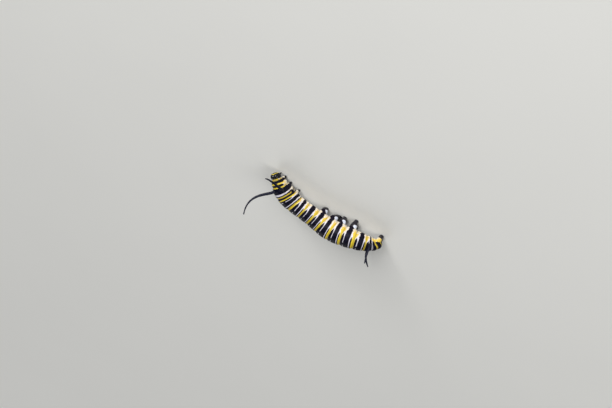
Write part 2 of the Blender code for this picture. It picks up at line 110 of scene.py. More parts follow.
# Filaments of the part: segment, place behind its front, angle from the back's middle line, thickness, and
# the offsets from the root of two control points and of the tip
FILAMENTS = {
    "front_filament_left": ("thorax_2", 0.9, 35.0, 0.92, (3.4, 1.0, 1.9), (6.8, 2.4, 3.9), (4.5, 4.0, 9.8)),
    "front_filament_right": (
        "thorax_2", 0.9, -35.0, 0.92, (1.2, -3.4, 2.6), (4.6, -6.6, 3.0), (5.9, -8.2, 4.9),
    ),
    "rear_filament_left": (
        "abdomen_8", 1.3, 48.0, 0.7, (-0.2, 0.3, 1.9), (-1.4, 0.2, 3.6), (-2.5, -0.6, 5.0),
    ),
    "rear_filament_right": (
        "abdomen_8", 1.3, -48.0, 0.7, (-0.1, -0.5, 2.2), (-0.6, 0.4, 4.4), (-1.3, 0.9, 6.2),
    ),
}
FILAMENT_START = 0.6
FILAMENT_TIP = 0.32
FILAMENT_TAPER = 1.5
SOCKET_RADIUS = 0.5
SOCKET_STAND = 0.25
SOCKET_DEPTH = 1.0
# The filament starts this deep in its collar, and has these many steps inside and outside it
FILAMENT_BASE = 0.4
FILAMENT_STEPS = (12, 260)
# Its rings: shares of the thickness and spacings in mm. Its swell: height in mm, and radians a millimetre
FILAMENT_RINGS = ((0.012, 0.37), (0.01, 0.23))
FILAMENT_SWELL = (0.012, 3.1)
FILAMENT_ROUND = 0.3

# True legs: half thickness at shares of the length, the pinched rings between the joints, and the claw
LEG_STEPS = (
    (0, 0.5), (0.1, 0.56), (0.3, 0.5), (0.36, 0.42), (0.6, 0.38), (0.66, 0.31), (0.86, 0.25), (1.0, 0.14),
)
LEG_RINGS = (0.33, 0.63, 0.87)
LEG_PINCH = (0.07, 0.022)
LEG_SWELL = (0.02, 0.03)
LEG_TIP = (0.9, 0.75, 0.55, 0.3)
LEG_INSIDE = 0.25
CLAW_HEIGHT = 0.16
CLAW_REACH = 0.22
CLAW_HALF = 0.05

# How limbs join the skin: width of the blend into the body, and softness of their cut ends and of the soles
PROLEG_JOIN = (0.55, 0.1)
LEG_JOIN = (0.3, 0.15)
FILAMENT_JOIN = (0.2, 0.1)
SOLE_SOFTNESS = 0.12

# Head capsule of the part, in its own frame: forward, left and up
HEAD_HALF_WIDTH = 1.65
HEAD_HALF_HEIGHT = 1.6
HEAD_DEPTH_FRONT = 1.15
HEAD_DEPTH_BACK = 1.3
HEAD_CENTRE = 0.8
HEAD_DROP = 0.25
HEAD_CLEFT = 0.14
HEAD_CLEFT_WIDTH = 0.28
HEAD_CLEFT_START = -0.35
ORAL_PLANE = -1.15
STEMMATA = ((58.0, -2.0), (58.0, -14.0), (60.0, -26.0), (66.0, -37.0), (78.0, -34.0), (56.0, -48.0))
STEMMA_RADIUS = 0.13
STEMMA_SINK = 0.035
# The face: its middle triangle, the pale chevron beside it and the pale arch round it
FRONS_TOP = 0.42
FRONS_HALF = 0.5
SUTURE_WIDTH = 0.035
SUTURE_DEPTHS = (0.018, 0.016)
MOUTH_ROUND = 0.004
CHEVRON_HALF = 0.075
CHEVRON_OUT = 0.13
ARCH_HALF = 0.09
ARCH_WIDTH = 1.12
ARCH_HEIGHT = 1.28
ARCH_DROP = 0.25
ARCH_BLUR = 0.03

# Plates of the mouth: ahead, aside, half depth, half width, length, share of the width left at the lower
# edge, notch in that edge, and lean ahead
PLATES = {
    "labrum": (0.74, 0.0, 0.17, 0.5, 0.84, 0.75, 0.16, -0.08),
    "mandible_left": (0.1, 0.42, 0.2, 0.3, 0.88, 0.62, -0.06, 0.1),
    "mandible_right": (0.1, -0.42, 0.2, 0.3, 0.88, 0.62, -0.06, 0.1),
    "labium": (-0.62, 0.0, 0.2, 0.5, 0.72, 0.5, 0.0, 0.06),
}
MOUTH_TOP = ORAL_PLANE + 0.12
# Feelers: the root ahead, aside and up, and the tip from the root
ANTENNA = ((0.3, 1.12, MOUTH_TOP), (0.12, 0.06, -0.98))
PALP = ((-0.45, 0.42, MOUTH_TOP), (0.1, 0.0, -0.95))
SPINNERET = ((-0.55, 0.0, MOUTH_TOP - 0.5), (0.12, 0.0, -0.42))
# Their half thickness at shares of the length. A palp is this much thinner than an antenna
ANTENNA_STEPS = ((0, 0.3), (0.3, 0.28), (0.33, 0.2), (0.6, 0.19), (0.63, 0.12), (0.92, 0.1), (1, 0.03))
PALP_STEPS = tuple((at, half * 0.55) for at, half in ANTENNA_STEPS)
SPINNERET_STEPS = ((0, 0.12), (0.6, 0.08), (1, 0.03))

# Breathing rings: place down the side, half sizes along and up the body, and a profile of share and rise
RING_SEGMENTS = ("thorax_1", *(f"abdomen_{number}" for number in range(1, 9)))
RING_ANGLE = 98.0
RING_HALF = (0.13, 0.21)
RING_PROFILE = (
    (1.15, -0.06), (1.08, 0.0), (0.95, 0.05), (0.8, 0.055),
    (0.66, 0.03), (0.55, -0.01), (0.4, -0.02), (0.2, -0.02),
)

# Bristles, and the hooks on the soles: how many, their lengths and half thicknesses
BRISTLES = 3200
BRISTLE_LENGTHS = (0.1, 0.24)
BRISTLE_HALVES = (0.009, 0.014)
BRISTLE_LOWEST = 0.8
BRISTLE_LEAN = 0.45
BRISTLE_SPREAD = 0.18
BRISTLE_SEED = 11
PATCH_HALF = 0.0015
PATCH_SEED = 3
HOOKS = 22
HOOK_LENGTH = 0.24
HOOK_HALF = 0.028
HOOK_RING = 0.52
HOOK_HEIGHT = 0.19

# White spots on the outer rear of the prolegs, and dark blots on the prolegs and on the flank. Those on the
# flank stand in mm behind the segment's front and in degrees down the side
MARK_RADIUS = 0.62
SPOT_ALONG = 1.12
SPOT_OUT = 1.1
SPOT_STRETCH = 0.4
BLOT_ALONG = 0.9
BLOT_RADIUS = 0.95
FLANK_BLOTS = {"abdomen_1": (1.95, 124), "abdomen_2": (1.925, 124), "thorax_3": (0.328, 89)}

# Bands, from front to back. "wide" and "narrow" are black, "line" is the white line inside the black.
# The front and the tail say where each band ends, in mm behind the neck
FRONT_BANDS = (
    ("yellow", 0.08), ("wide", 0.8), ("yellow", 1.3), ("narrow", 1.95), ("yellow", 2.38), ("wide", 4.08),
    ("white", 4.65), ("wide", 5.05), ("yellow", 5.55), ("wide", 6.15), ("yellow", 6.6), ("narrow", 7.0),
    ("line", 7.25), ("wide", 8.55), ("white", 8.9), ("wide", 9.28), ("yellow", 10.0), ("narrow", 10.8),
    ("line", 11.05), ("wide", 12.1), ("white", 12.42), ("narrow", 12.7), ("yellow", 13.05),
)
# One middle segment's bands, as shares of its length
SEGMENT_BANDS = (
    ("yellow", 0.06), ("narrow", 0.19), ("line", 0.06), ("wide", 0.38),
    ("white", 0.08), ("narrow", 0.09), ("yellow", 0.14),
)
TAIL_BANDS = (
    ("yellow", 31.5), ("narrow", 32.05), ("line", 32.3), ("wide", 33.55), ("white", 33.8), ("narrow", 34.1),
    ("yellow", 34.6), ("narrow", 35.3), ("wide", 36.1), ("white", 36.5), ("wide", 37.15), ("yellow", 37.75),
    ("wide", 38.9), ("yellow", 39.25), ("wide", 39.7),
)
MIDDLE_SEGMENT = 3.6
BAND_KINDS = ("wide", "narrow", "yellow", "line")
# The bands lean: mm forward for each mm up the side, at distances behind the neck
LEAN = ((0.0, 0.34), (5.0, 0.32), (8.0, 0.2), (12.0, 0.04), (35.5, 0.0), (37.3, -0.8), (40.0, -0.8))
# Near a fold between segments they lean this much more
FOLD_LEAN = ((4.0, 0.0), (8.0, 0.12), (24.0, 0.15), (30.0, 0.0), (40.0, 0.0))
FOLD_LEAN_WIDTH = 0.8
# The first bands of the thorax lean this much less than its folds
UPRIGHT = ((0.0, 0.2), (1.8, 0.05), (3.0, 0.1), (4.2, 0.22), (5.2, 0.16), (6.4, 0.0))
# The bands' places hold at this share of the girth above the middle line
LEAN_LEVEL = 0.6
# Where each kind of band stops short, in mm of depth, at angles down the side from the back's middle line
LIMITS = {
    "wide": ((0, -0.04), (90, -0.03), (112, 0.04), (140, 0.05), (180, -0.3)),
    "narrow": ((0, -0.03), (46, -0.03), (57, 0.1), (68, 0.34), (140, 0.5), (180, -0.2)),
    "yellow": ((0, 0.02), (62, 0.0), (76, -0.22), (104, -0.2), (122, 0.2), (180, 0.6)),
    "line": ((0, 0.2), (8, 0.1), (16, 0.0), (80, -0.02), (180, 0.0)),
}

# The thorax fades to cream this many degrees higher up its sides, and the tail's flank is pale from here back
FRONT_FADE = 20.0
FRONT_FADE_END = 6.5
TAIL_FLANK_START = 36.3
TAIL_FLANK_LIMITS = {"wide": 0.9, "narrow": 0.9, "yellow": -0.55}

# Relief of the skin
FOLD_DEPTH = 0.2
FOLD_WIDTH = 0.42
# Width of the painted shade in the folds between segments, in mm
FOLD_SHADE_WIDTH = 0.16
CREASE_DEPTH = 0.055
CREASE_WIDTH = 0.1
CREASES = (0.07, 0.24, 0.31, 0.66, 0.76)
SIDE_RIDGE = (112.0, 15.0, 0.12)
SIDE_GROOVE = (132.0, 10.0, -0.08)
SKIN_VOXEL = 0.12
SKIN_STEPS = 4
LONGEST_STEP = 0.15
GRADIENT_STEP = 0.02
WAVES = 14
WAVE_HEIGHT = 0.02
WAVE_LENGTHS = (0.9, 2.4)
WAVE_SEED = 7

# Over these degrees down the side a noise moves the edges more and more, in mm: those of all bands as the
# skin puckers, and those of the yellow as it breaks into stains
PUCKER = (58, 90, 0.18, 0.95)
STAINED = (66, 98, 0.0, 2.6)
# Over these degrees every colour turns to its lower one, and then the yellow to cream. The white's upper one
# is darker and lilac as painted shade; its lower one is its own cream
TO_LOW = (60, 112)
TO_CREAM = (96, 116)
# Noises of the skin: size in mm, and detail
NOISES = {"wander": (0.7, 2.0), "stain": (0.5, 2.0), "flecks": (0.22, 3.0), "grain": (0.07, 2.0)}
# Creases this far apart in mm, how high they are beside the grain, and how strong and how deep the relief is
CREASE_EVERY = 0.16
CREASE_SHARE = 0.25
SKIN_BUMP = 0.35
SKIN_BUMP_DEPTH = 0.03
HORN_BUMP = 0.3
BUMP_FILTER = 0.1
# How blurred the edges of the bands are, in mm, and those of the black that closes over the white line
BAND_BLUR = 0.06
CLOSING_BLUR = 0.03
# How far the wander moves the edges of the marks, how blurred they are, and how covered the edge itself is
MARKS = {"leg": (0.7, 0.2, -1.6), "blot": (1.0, 0.15, 0.4), "spot": (0.6, 0.1, 0.5)}
FLECK_SHARE = 0.22
# How strongly the painted shade darkens the pale skin in the folds
FOLD_SHADE_SHARE = 0.55
# Black skin is dull, but glossy on the legs: what black adds, what bare skin has and what legs add
SHINE = {"Roughness": (0.05, 0.45, -0.24), "Specular IOR Level": (-0.28, 0.4, 0.4)}

# Colours, as sRGB
BLACK = "060616"
BLACK_LOW = "0E0818"
# White of the back and upper flank: darker and lilac, as painted shade
WHITE_HIGH_SHADED = "D3CFDB"
WHITE_LOW = "EBDFCB"
SPOT_WHITE = "CFD5E4"
YELLOW_HIGH = "DFC312"
YELLOW_LOW = "E4BD55"
YELLOW_CREAM = "EBDDB6"
FLECK_BROWN = "8A7A5A"
# Painted shade in the folds between segments
FOLD_SHADE_COLOUR = "3A2E20"
HORN_BLACK = "07070C"
HORN_BROWN = "2A1710"
ARCH_YELLOW = "DDC648"
FILAMENT_BLACK = "080A1C"
FLOOR_PALE = "E6E5E0"
SKY_PALE = "E9EEF4"

# The photograph's camera: how high it looks down from, how its picture is turned, and what it aims at
CAMERA_ELEVATION = 32.0
CAMERA_TURN = 150.0
CAMERA_LENS = 100.0
CAMERA_SENSOR = 36.0
FRAME_WIDTH = 183.6
AIM_ALONG = 6.67
AIM_RISE = 1.95

# Studio lights: where each panel stands, in mm from the larva's middle, its width and its power in watts
LIGHTS = {
    "key_panel": ((350.0, -800.0, 420.0), 450.0, 6.9),
    "fill_panel": ((-600.0, -500.0, 500.0), 500.0, 3.0),
    "back_panel": ((100.0, 800.0, 500.0), 500.0, 2.0),
    "low_panel": ((500.0, -650.0, 110.0), 200.0, 3.2),
}
SKY_STRENGTH = 0.17
FLOOR_HALF = 1500.0

# Kinds of node
ATTRIBUTE = "ShaderNodeAttribute"
PLACE = "ShaderNodeTexCoord"
MATH = "ShaderNodeMath"
MIX = "ShaderNodeMix"
NOISE = "ShaderNodeTexNoise"
NET = "ShaderNodeTexVoronoi"
MAP_RANGE = "ShaderNodeMapRange"
BUMP = "ShaderNodeBump"


def linear(hex_colour):
    """The sRGB hex colour as linear RGBA."""
    channels = [int(hex_colour[i:i + 2], 16) / 255 for i in (0, 2, 4)]
    return [c / 12.92 if c <= 0.04045 else ((c + 0.055) / 1.055) ** 2.4 for c in channels] + [1.0]


def unit(vectors):
    """Each vector divided by its length."""
    return vectors / np.linalg.norm(vectors, axis=-1, keepdims=True)


def natural_spline(points, count):
    """Count points on the natural cubic spline through the points, spaced by the square root of chord."""
    points = np.array(points, float)
    knots = np.concatenate([[0], np.cumsum(np.sqrt(np.linalg.norm(np.diff(points, axis=0), axis=1)))])
    steps = np.diff(knots)
    slopes = np.diff(points, axis=0) / steps[:, None]
    system = np.eye(len(points))
    target = np.zeros_like(points)
    for i in range(1, len(points) - 1):
        system[i, i - 1:i + 2] = steps[i - 1], 2 * (steps[i - 1] + steps[i]), steps[i]
        target[i] = 6 * (slopes[i] - slopes[i - 1])
    bend = np.linalg.solve(system, target)
    at = np.linspace(0, knots[-1], count)
    k = np.clip(np.searchsorted(knots, at) - 1, 0, len(steps) - 1)
    step = steps[k][:, None]
    after = (knots[k + 1] - at)[:, None]
    before = (at - knots[k])[:, None]
    cubic = (bend[k] * after ** 3 + bend[k + 1] * before ** 3) / (6 * step)
    from_start = (points[k] / step - bend[k] * step / 6) * after
    from_end = (points[k + 1] / step - bend[k + 1] * step / 6) * before
    return cubic + from_start + from_end


def long_spine():
    """The middle line with a straight run added at both ends, and its distances behind the neck."""
    line = natural_spline(np.array(SPINE) + SPINE_SHIFT, SPINE_SAMPLES)
    distance = np.concatenate([[0], np.cumsum(np.linalg.norm(np.diff(line, axis=0), axis=1))]) - HEAD_REACH
    front = line[0] + unit(line[0] - line[1]) * SPINE_REACH
    back = line[-1] + unit(line[-1] - line[-2]) * SPINE_REACH
    line = np.vstack([front, line, back])
    return line, np.concatenate([[distance[0] - SPINE_REACH], distance, [distance[-1] + SPINE_REACH]])


SPINE_LINE, SPINE_AT = long_spine()
GIRTH_AT, GIRTH_SIZE = natural_spline(GIRTH, SPINE_SAMPLES).T


def spine_point(distance):
    """The middle line's points at these distances behind the neck."""
    return np.stack([np.interp(distance, SPINE_AT, SPINE_LINE[:, i]) for i in range(3)], axis=-1)


def spine_forward(distance):
    """The direction of the middle line there, towards the head."""
    return unit(spine_point(distance - DIRECTION_STEP) - spine_point(distance + DIRECTION_STEP))


def spine_axes(distance):
    """Forward, left and back-side directions there, with the body's roll."""
    distance = np.asarray(distance, float)
    forward = spine_forward(distance)
    left = unit(np.cross(UP, forward))
    up = np.cross(forward, left)
    roll = np.radians(np.interp(distance, *zip(*ROLL)))[..., None]
    return forward, left * np.cos(roll) + up * np.sin(roll), up * np.cos(roll) - left * np.sin(roll)


def girth_at(station):
    """Half the body's width at these distances behind the neck."""
    return np.interp(station, GIRTH_AT, GIRTH_SIZE)


def on_side(distance, degrees):
    """The point on the body's side at an angle from the back's middle line, and the way that it faces."""
    angle = math.radians(degrees)
    _, left, up = spine_axes(distance)
    girth = girth_at(distance)
    height = girth * math.cos(angle)
    above = height if height > 0 else height * BELLY_HEIGHT
    facing = unit(left * math.sin(angle) + up * math.cos(angle))
    return spine_point(distance) + left * (girth * math.sin(angle)) + up * above, facing


def station_of(points):
    """The distance behind the neck of each point's nearest place on the middle line."""
    every = SPINE_SAMPLES // 400
    coarse = SPINE_LINE[1:-1:every]
    coarse_at = SPINE_AT[1:-1:every]
    found = np.empty(len(points))
    for start in range(0, len(points), 20000):
        some = points[start:start + 20000]
        apart = (coarse ** 2).sum(1) - 2 * some @ coarse.T
        found[start:start + 20000] = coarse_at[apart.argmin(1)]
    for _ in range(3):
        found = nearer_station(points, found)
    return found


def nearer_station(points, station):
    """One step towards the nearest place on the middle line, along its direction."""
    return station - ((points - spine_point(station)) * spine_forward(station)).sum(1)


def body_places(points, station):
    """Offsets to the left and to the back side, and the angle from the back's middle line."""
    _, left, up = spine_axes(station)
    offset = points - spine_point(station)
    aside = (offset * left).sum(1)
    above = (offset * up).sum(1)
    return aside, above, np.degrees(np.arctan2(aside, above))


def band_station(station, above):
    """The distance behind the neck that the leaning bands count from."""
    to_fold = np.abs(station[:, None] - SEGMENT_ENDS[1:-1]).min(1)
    lean = np.interp(station, *zip(*LEAN))
    lean = lean + np.interp(station, *zip(*FOLD_LEAN)) * hump(to_fold, 0.0, FOLD_LEAN_WIDTH)
    return station + lean * (above - LEAN_LEVEL * girth_at(station))


def hump(values, middle, width):
    """One at the middle, falling off as a bell of that width."""
    return np.exp(-((values - middle) / width) ** 2)


def relief(band_at, angle):
    """How far the skin stands out: segment folds, creases at band edges, and a ridge down each side."""
    k = np.clip(np.searchsorted(SEGMENT_ENDS, band_at) - 1, 0, len(SEGMENT_ENDS) - 2)
    length = np.diff(SEGMENT_ENDS)[k]
    share = (band_at - SEGMENT_ENDS[k]) / length
    to_fold = np.abs(band_at[:, None] - SEGMENT_ENDS[1:-1]).min(1)
    out = -FOLD_DEPTH * hump(to_fold, 0.0, FOLD_WIDTH)
    for crease in CREASES:
        out -= CREASE_DEPTH * np.minimum(1.0, length / 3) * hump((share - crease) * length, 0.0, CREASE_WIDTH)
    down = np.abs(angle)
    for middle, width, height in (SIDE_RIDGE, SIDE_GROOVE):
        out += height * hump(down, middle, width) * (1 - 0.7 * hump(to_fold, 0.0, 0.7))
    return out


def make_waves():
    """Directions and phases of a set of gentle waves."""
    rng = np.random.default_rng(WAVE_SEED)
    directions = unit(rng.normal(size=(WAVES, 3)))
    lengths = rng.uniform(*WAVE_LENGTHS, WAVES)
    return directions * (2 * np.pi / lengths)[:, None], rng.uniform(0, 2 * np.pi, WAVES)


SKIN_WAVES = make_waves()


def unevenness(points):
    """A sum of sine waves in seeded directions."""
    directions, phases = SKIN_WAVES
    return WAVE_HEIGHT * np.sin(points @ directions.T + phases).sum(1) / math.sqrt(WAVES)


def body_field(points, station):
    """Distance outside the bare body: radius less girth and relief, closed by rounded ends."""
    aside, above, angle = body_places(points, station)
    level = np.where(above > 0, above, above / BELLY_HEIGHT)
    around = np.hypot(aside, level)
    reach = girth_at(station) + relief(band_station(station, above), angle) + unevenness(points)
    tail = np.maximum(0.0, (station - (BODY_LENGTH - TAIL_ROUND)) / TAIL_ROUND)
    ahead = -station - above * math.tan(math.radians(HEAD_TILT))
    neck = np.maximum(0.0, (ahead + NECK_START) / NECK_ROUND)
    return reach * (np.sqrt((around / reach) ** 2 + tail ** 2 + neck ** 2) - 1)


def leg_path(segment, place, side, hip_angle):
    """Hip on the body's side and foot on the floor, for side 1 on the left or -1 on the right."""
    behind, foot_behind, right_spread, left_spread = place
    distance = sum(SPANS[segment]) / 2 + behind
    hip, _ = on_side(distance, side * hip_angle)
    forward, _, _ = spine_axes(distance)
    level = unit(forward * (1, 1, 0))
    left = np.cross(UP, level)
    spread = left_spread if side > 0 else right_spread
    foot = spine_point(distance) * (1, 1, 0) - level * foot_behind + left * (side * spread)
    return hip, foot, level


def limb(start, end, profile, join):
    """One limb of the skin: a straight run, its half thickness along the run, and how softly it joins."""
    at, half = np.array(profile).T
    return {
        "start": start, "axis": unit(end - start), "length": np.linalg.norm(end - start),
        "at": at, "half": half, "blend": join[0], "flat": join[1],
    }


def proleg_limb(segment, place, side, hip_angle, root, offset, rings):
    """A proleg from inside the body, through its hip, to below the floor, where the floor cuts it flat."""
    hip, foot, _ = leg_path(segment, place, side, hip_angle)
    axis = unit(foot - hip)
    start = hip - axis * STUB_DEPTH
    top = STUB_DEPTH + offset + GAP
    length = np.linalg.norm(foot - start)
    profile = [(0.0, root * 0.9), (STUB_DEPTH, root)]
    profile += [(top + share * (length - top), half) for share, half in rings]
    profile += [(length + 1.0, rings[-1][1])]
    return limb(start, foot + axis, profile, PROLEG_JOIN)


def skin_limbs():
    """Every proleg, true-leg collar and filament collar that the skin carries."""
    prolegs = {}
    collars = []
    for side_name, side in SIDES.items():
        for segment, place in PROLEGS.items():
            prolegs[f"proleg_{segment[-1]}_{side_name}"] = proleg_limb(
                segment, place, side, PROLEG_HIP_ANGLE, PROLEG_ROOT, PROLEG_OFFSET, PROLEG_RINGS
            )
        prolegs[f"anal_proleg_{side_name}"] = proleg_limb(
            "abdomen_10", ANAL_PROLEG, side, ANAL_HIP_ANGLE, ANAL_ROOT, ANAL_OFFSET, ANAL_RINGS
        )
        for segment, place in TRUE_LEGS.items():
            hip, foot, _ = leg_path(segment, place, side, TRUE_HIP_ANGLE)
            axis = unit(foot - hip)
            end = STUB_DEPTH + TRUE_OFFSET
            profile = ((0.0, TRUE_ROOT), (STUB_DEPTH, TRUE_ROOT * 1.04), (end, TRUE_ROOT * 0.9))
            collars.append(limb(hip - axis * STUB_DEPTH, hip + axis * TRUE_OFFSET, profile, LEG_JOIN))
    for name in FILAMENTS:
        root, axis, _ = filament_path(name, 2)
        profile = ((0.0, SOCKET_RADIUS + 0.1), (SOCKET_DEPTH + SOCKET_STAND, SOCKET_RADIUS * 0.94))
        collars.append(limb(root - axis * SOCKET_DEPTH, root + axis * SOCKET_STAND, profile, FILAMENT_JOIN))
    return prolegs, collars


def soft_min(a, b, width):
    """The lesser of two distances, blended where they are within the width of each other."""
    near = np.maximum(width - np.abs(a - b), 0.0) / width
    return np.minimum(a, b) - near ** 2 * width / 4


def limb_field(points, piece):
    """Distance outside a limb: radius less half thickness, cut flat at its end."""
    offset = points - piece["start"]
    along = offset @ piece["axis"]
    around = np.linalg.norm(offset - along[:, None] * piece["axis"], axis=1)
    side = around - np.interp(along, piece["at"], piece["half"])
    ends = np.maximum(along - piece["length"], -along)
    return -soft_min(-side, -ends, piece["flat"])


def skin_field(points, station, limbs):
    """Distance outside the whole skin: the body, softly joined to every limb, cut flat by the floor."""
    field = body_field(points, station)
    for piece in limbs:
        field = soft_min(field, limb_field(points, piece), piece["blend"])
    return -soft_min(-field, points[:, 2], SOLE_SOFTNESS)


def circle(sides):
    """Cosines and sines of even steps round a circle, as columns."""
    turn = np.linspace(0, 2 * np.pi, sides, endpoint=False)
    return np.cos(turn)[:, None], np.sin(turn)[:, None]


def closed(rows, first, last, inside_out=False):
    """A grid of points whose rows wrap round, closed to a point at each end, and its faces."""
    faces = closed_faces(*rows.shape[:2])
    if inside_out:
        faces = [some[:, ::-1] for some in faces]
    return np.vstack([rows.reshape(-1, 3), first, last]), faces


def tube(path, half, sides, hint=UP):
    """Rings round a path, closed by a point at each end: centre + half * (across * cos + along * sin)."""
    tangent = unit(np.gradient(path, axis=0))
    across = unit(hint - (tangent @ hint)[:, None] * tangent)
    along = np.cross(tangent, across)
    cos, sin = circle(sides)
    ring = across[:, None] * cos + along[:, None] * sin
    return closed(path[:, None] + half[:, None, None] * ring, path[0], path[-1])


def closed_faces(rows, columns):
    """Faces of a grid that wraps round, with its first and last rows fanned to two more points."""
    index = np.arange(rows * columns).reshape(rows, columns)
    after = np.roll(index, -1, axis=1)
    quads = np.stack([index[:-1], after[:-1], after[1:], index[1:]], axis=-1).reshape(-1, 4)
    first = np.full(columns, rows * columns)
    front = np.stack([after[0], index[0], first], axis=-1)
    back = np.stack([index[-1], after[-1], first + 1], axis=-1)
    return [quads, np.vstack([front, back])]


def joined(shapes):
    """Several (points, faces) shapes as one."""
    points, quads, triangles = [], [], []
    count = 0
    for shape_points, faces in shapes:
        for some in faces:
            (quads if some.shape[1] == 4 else triangles).append(some + count)
        points.append(shape_points)
        count += len(shape_points)
    faces = [np.vstack(some) for some in (quads, triangles) if some]
    return np.vstack(points), faces


def build_mesh(name, points, face_sets, scale=MM):
    """A smooth mesh from points in millimetres and arrays of faces with three or four corners."""
    mesh = bpy.data.meshes.new(name)
    corners = np.concatenate([faces.ravel() for faces in face_sets])
    sizes = np.concatenate([np.full(len(faces), faces.shape[1]) for faces in face_sets])
    mesh.vertices.add(len(points))
    mesh.vertices.foreach_set("co", (points * scale).astype(np.float32).ravel())
    mesh.loops.add(len(corners))
    mesh.loops.foreach_set("vertex_index", corners.astype(np.int32))
    mesh.polygons.add(len(sizes))
    mesh.polygons.foreach_set("loop_start", (np.cumsum(sizes) - sizes).astype(np.int32))
    mesh.update(calc_edges=True)
    mesh.shade_smooth()
    return mesh


def add_piece(name, mesh, material, slot, *replaced):
    """Puts the mesh in the scene as a piece that rides on the body and stands for the named solids."""
    obj = bpy.data.objects.new(f"fine_{name}" if name in replaced else name, mesh)
    bpy.context.scene.collection.objects.link(obj)
    mesh.materials.append(material)
    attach(obj, "root")
    if replaced:
        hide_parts(*replaced)
    return obj


def paint(mesh, name, values):
    """Keeps one number for each point of the mesh, for its material to read."""
    attribute = mesh.attributes.new(name, "FLOAT", "POINT")
    attribute.data.foreach_set("value", np.asarray(values, np.float32))


def remeshed(name, points, faces, voxel):
    """Overlapping closed shapes as one even surface of small squares."""
    mesh = build_mesh(name, points, faces, 1.0)
    obj = bpy.data.objects.new(name, mesh)
    bpy.context.scene.collection.objects.link(obj)
    remesh = obj.modifiers.new("even", "REMESH")
    remesh.mode = "VOXEL"
    remesh.voxel_size = voxel
    bpy.context.view_layer.update()
    even = bpy.data.meshes.new_from_object(obj.evaluated_get(bpy.context.evaluated_depsgraph_get()))
    found = np.empty(len(even.vertices) * 3, np.float32)
    even.vertices.foreach_get("co", found)
    corners = np.empty(len(even.loops), np.int32)
    even.loops.foreach_get("vertex_index", corners)
    bpy.data.objects.remove(obj, do_unlink=True)
    bpy.data.meshes.remove(mesh)
    bpy.data.meshes.remove(even)
    return found.reshape(-1, 3).astype(float), corners.reshape(-1, 4)


def rough_skin(limbs):
    """The body as a tube with closed ends, and a tube for each limb, all overlapping.

    A limb's points under the floor slide back up its axis to the floor, which cuts it flat.
    """
    at = np.linspace(-0.1, BODY_LENGTH - 0.02, 420)
    _, left, up = spine_axes(at)
    tail = np.maximum(0.0, (at - (BODY_LENGTH - TAIL_ROUND)) / TAIL_ROUND)
    half = (girth_at(at) * np.sqrt(np.maximum(0.0, 1 - tail ** 2)))[:, None, None]
    middle = spine_point(at)
    cos, sin = circle(96)
    rings = middle[:, None] + half * (left[:, None] * sin + up[:, None] * cos)
    shapes = [closed(rings, middle[0], middle[-1])]
    for piece in limbs:
        run = np.linspace(0, piece["length"], 24)
        path = piece["start"] + run[:, None] * piece["axis"]
        points, faces = tube(path, np.interp(run, piece["at"], piece["half"]), 32, np.array([1.0, 0.2, 0.1]))
        under = np.minimum(points[:, 2:], 0.0)
        shapes.append((points - under / piece["axis"][2] * piece["axis"], faces))
    return joined(shapes)


def settled(points, station, limbs):
    """Moves points onto the skin's surface: each step goes down the field's slope by the distance left."""
    for _ in range(SKIN_STEPS):
        station = nearer_station(points, station)
        field = skin_field(points, station, limbs)
        slope = np.empty_like(points)
        for axis in range(3):
            step = np.zeros(3)
            step[axis] = GRADIENT_STEP
            ahead = skin_field(points + step, nearer_station(points + step, station), limbs)
            behind = skin_field(points - step, nearer_station(points - step, station), limbs)
            slope[:, axis] = (ahead - behind) / (2 * GRADIENT_STEP)
        steep = np.maximum((slope ** 2).sum(1), 0.2)
        move = -slope * (field / steep)[:, None]
        far = np.linalg.norm(move, axis=1, keepdims=True)
        points = points + move * np.minimum(1.0, LONGEST_STEP / np.maximum(far, 1e-9))
    return points, nearer_station(points, station)


def spot_depth(points, spots):
    """How deep each point lies inside the nearest spot, in mm. Each spot is stretched along its long axis."""
    depth = np.full(len(points), -1.0)
    for centre, radius, long_axis, stretch in spots:
        away = points - centre
        away = away - (away @ long_axis)[:, None] * long_axis * stretch
        depth = np.maximum(depth, radius - np.linalg.norm(away, axis=1))
    return depth


def leg_marks(prolegs):
    """White spots on the outer rear of each proleg's root, and dark blots low on the flank."""
    spots = []
    blots = []
    for side_name, side in SIDES.items():
        for segment in PROLEGS:
            piece = prolegs[f"proleg_{segment[-1]}_{side_name}"]
            forward, left, _ = spine_axes(sum(SPANS[segment]) / 2)
            out = unit(left * side * 0.8 - forward * 0.9)
            spot = piece["start"] + piece["axis"] * SPOT_ALONG + out * SPOT_OUT
            spots.append((spot, MARK_RADIUS, forward, SPOT_STRETCH))
            blot = piece["start"] + piece["axis"] * BLOT_ALONG + unit(left * side + forward * 0.35)
            blots.append((blot, BLOT_RADIUS, forward, 0.0))
        for segment, (behind, degrees) in FLANK_BLOTS.items():
            blot, _ = on_side(SPANS[segment][0] + behind, side * degrees)
            blots.append((blot, MARK_RADIUS, UP, 0.0))
    return spots, blots


